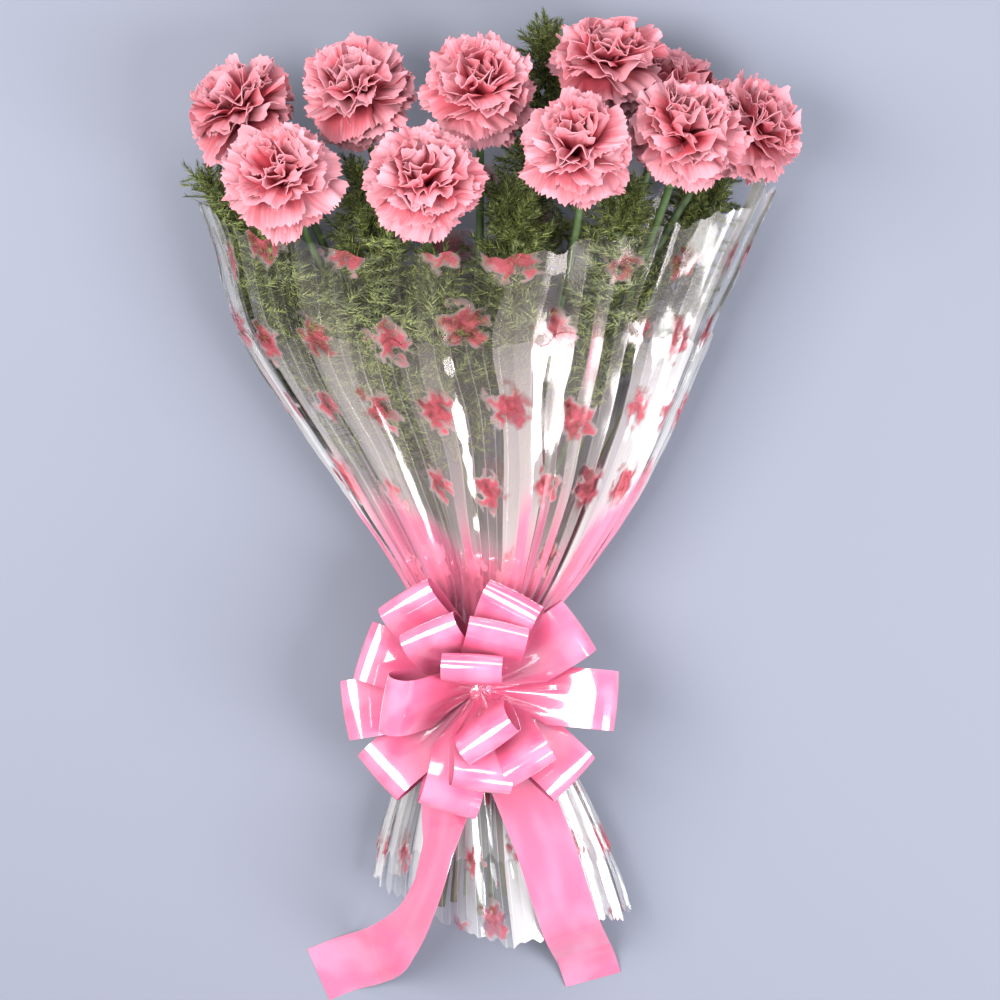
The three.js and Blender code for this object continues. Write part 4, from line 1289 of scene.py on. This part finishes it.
# heading and rise off the floor in degrees, length
LOOPS = [
    (126, 15, 76), (71, 26, 72), (36, 15, 73), (-3, 10, 80), (-42, 14, 76), (-106, 26, 74),
    (-140, 12, 78), (-173, 11, 79), (159, 9, 72), (123, 40, 70), (76, 46, 68), (-52, 48, 70),
    (179, 42, 70), (-88, 52, 72), (98, 66, 68), (-70, 74, 66),
]


def add_loop(bm, heading, rise, length, roll):
    """One loop of ribbon: out from the knot, over in a rounded bend and back."""
    turn, climb = math.radians(heading), math.radians(rise)
    level = Vector((math.cos(turn), math.sin(turn), 0))
    out = level * math.cos(climb) + Vector((0, 0, math.sin(climb)))
    up = -level * math.sin(climb) + Vector((0, 0, math.cos(climb)))
    up.rotate(Matrix.Rotation(math.radians(roll), 3, out))
    across = out.cross(up)

    def middle(t):
        reach = math.sin(math.pi * t)
        rises = -LOOP_HALF * math.sin(math.tau * t) * max(reach, 0) ** 1.3
        return KNOT + out * (length * reach) + up * rises

    def band(share, t):
        reach = math.sin(math.pi * t)
        s = 2 * share - 1
        along = (middle(min(t + 0.01, 1)) - middle(max(t - 0.01, 0))).normalized()
        normal = across.cross(along)
        width = RIBBON_WIDTH * min(max(reach / FULL_WIDTH_AT, KNOT_SHARE), 1)
        gather = GATHER * math.cos(s * 7 + heading) * (1 - smoothstep(reach, 0.25, 0.85))
        cup = CUP * (s * s - 0.5) * reach
        return middle(t) + across * (s * width / 2) + normal * (gather + cup)

    add_sheet(bm, 10, 46, band, lambda share, t: {"across": share, "along": t + heading / 7})


def add_bow():
    bm = bmesh.new()
    draw = random.Random(4)
    for heading, rise, length in LOOPS:
        add_loop(bm, heading, rise, length, draw.uniform(-LOOP_ROLL, LOOP_ROLL))
    thicken(bm, RIBBON_THICK)
    knot = bmesh.ops.create_uvsphere(bm, u_segments=24, v_segments=16, radius=KNOT_RADIUS)["verts"]
    bmesh.ops.scale(bm, vec=(1, 1, (KNOT.z - KNOT_UNDERSIDE) / KNOT_RADIUS), verts=knot)
    bmesh.ops.translate(bm, vec=KNOT, verts=knot)
    return finish_piece("bow_satin", bm, ["bow_loops"], RIBBON)


bow = add_bow()
print("bow triangles:", triangles([bow]))

# %% [markdown]
# The tails are the two free ends of the same ribbon. They leave the knot one on the other, fan out over
# the skirt and come down to the floor. A chosen row of points carries each, with the ribbon's roll at
# every point.

# %% Tails
TAIL_PAIRED = 4  # stations before the tails part
TAIL_STEPS = 9  # points from one station to the next
# points of the middle line, each with the ribbon's roll in degrees
TAIL_LEFT = [
    (-2, -3, 44, 0), (-3, -13, 44, 0), (-5, -24, 45, 0), (-13, -48, 50.4, 0), (-18, -60, 52, 6),
    (-21.5, -78, 57.5, 36), (-26, -102, 62.5, 60), (-34, -131, 63, 64), (-45, -157, 46, 56),
    (-56, -174, 23, 34), (-67, -184, 6.5, 8), (-82, -190, 0.8, 0), (-99, -197, 0.4, 0),
]
TAIL_RIGHT = [
    (-2, -3, 45.3, 0), (-1, -13, 45.35, 0), (4, -24, 46.9, 0), (14, -48, 52.6, 0), (25, -75, 55, 0),
    (36, -103, 55, 0), (45, -132, 54, 0), (52, -155, 46, 0), (58, -173, 25, 0),
    (62, -186, 7, 0), (66, -200, 0.5, 0),
]


def add_tail(name, stations):
    """A free end of the ribbon. Both start in one direction, one on the other, and then part."""
    bm = bmesh.new()
    path = curve_through([Vector(station[:3]) for station in stations], TAIL_STEPS)
    last = len(path.points) - 1

    def strip(share, t):
        k = round(t * last)
        station, part = divmod(k / TAIL_STEPS, 1)
        a = stations[min(int(station), len(stations) - 1)]
        b = stations[min(int(station) + 1, len(stations) - 1)]
        along = (path.points[min(k + 1, last)] - path.points[max(k - 1, 0)]).normalized()
        square = 1 - smoothstep(k / TAIL_STEPS, TAIL_PAIRED - 1, TAIL_PAIRED)
        heading = along.lerp(Vector((0, -1, 0)), square)
        level = Vector((0, 0, 1)).cross(heading).normalized()
        face = along.cross(level)
        roll = math.radians(lerp(a[3], b[3], part))
        across = level * math.cos(roll) + face * math.sin(roll)
        point = path.points[k] + across * (share - 0.5) * RIBBON_WIDTH
        point.z = max(point.z, RIBBON_THICK / 2)
        return point

    add_sheet(bm, 8, last, strip, lambda share, t: {"across": share, "along": t * 1.3})
    thicken(bm, RIBBON_THICK)
    finish_piece(name + "_satin", bm, [name], RIBBON)
    return path.length


left_length = add_tail("ribbon_tail_left", TAIL_LEFT)
right_length = add_tail("ribbon_tail_right", TAIL_RIGHT)
print("tails:", round(left_length), "and", round(right_length), "mm long")

# %% [markdown]
# The two bands
#
# A clear band holds the stems, and a pink one gathers the film over it. Both are hidden in the
# photograph and show only from behind or through the film, so each is a plain rounded ring.

# %% Bands
def add_band(name, node, inner, outer, half, material):
    bm = bmesh.new()
    corners = [(inner, -half), (outer, -half), (outer, half), (inner, half)]
    profile = [bm.verts.new((radius, y, 0)) for radius, y in corners]
    edges = [bm.edges.new((a, b)) for a, b in zip(profile, profile[1:] + profile[:1])]
    bmesh.ops.spin(bm, geom=profile + edges, cent=(0, 0, 0), axis=(0, 1, 0), angle=math.tau, steps=64,
                   use_merge=True, use_duplicate=False)
    bmesh.ops.remove_doubles(bm, verts=bm.verts, dist=1e-3)
    bmesh.ops.recalc_face_normals(bm, faces=bm.faces)
    bmesh.ops.translate(bm, vec=TIE, verts=bm.verts)
    corners = [edge for edge in bm.edges if edge.calc_face_angle(0) > 1]
    bmesh.ops.bevel(bm, geom=corners, offset=0.25, offset_type="OFFSET", segments=2, profile=0.5,
                    affect="EDGES", material=-1)
    return finish_piece(name, bm, [node], material)


def clear_finish():
    finish = Finish("clear_band")
    finish.set(Base_Color=(0.85, 0.87, 0.88, 1), Roughness=0.2, Alpha=0.5)
    return finish.material


CLEAR = clear_finish()
add_band("stem_band_clear", "stem_band", inner=13.95, outer=15.1, half=4, material=CLEAR)
add_band("tie_band_satin", "tie_band", inner=19.6, outer=21.2, half=6.5, material=RIBBON)
print("bands made")

# %% [markdown]
# Measure the size
#
# For each axis the script prints how far the finer pieces stand proud of the imported solids. The finer
# pieces may stand a little proud of the imported solids and no more.

# %% Measure and finish
visual_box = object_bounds()
for axis_name, k in (("x", 0), ("y", 1), ("z", 2)):
    below = (cad_box[0][k] - visual_box[0][k]) / MM
    above = (visual_box[1][k] - cad_box[1][k]) / MM
    print(axis_name, "stands proud by", round(below, 1), "and", round(above, 1), "mm")
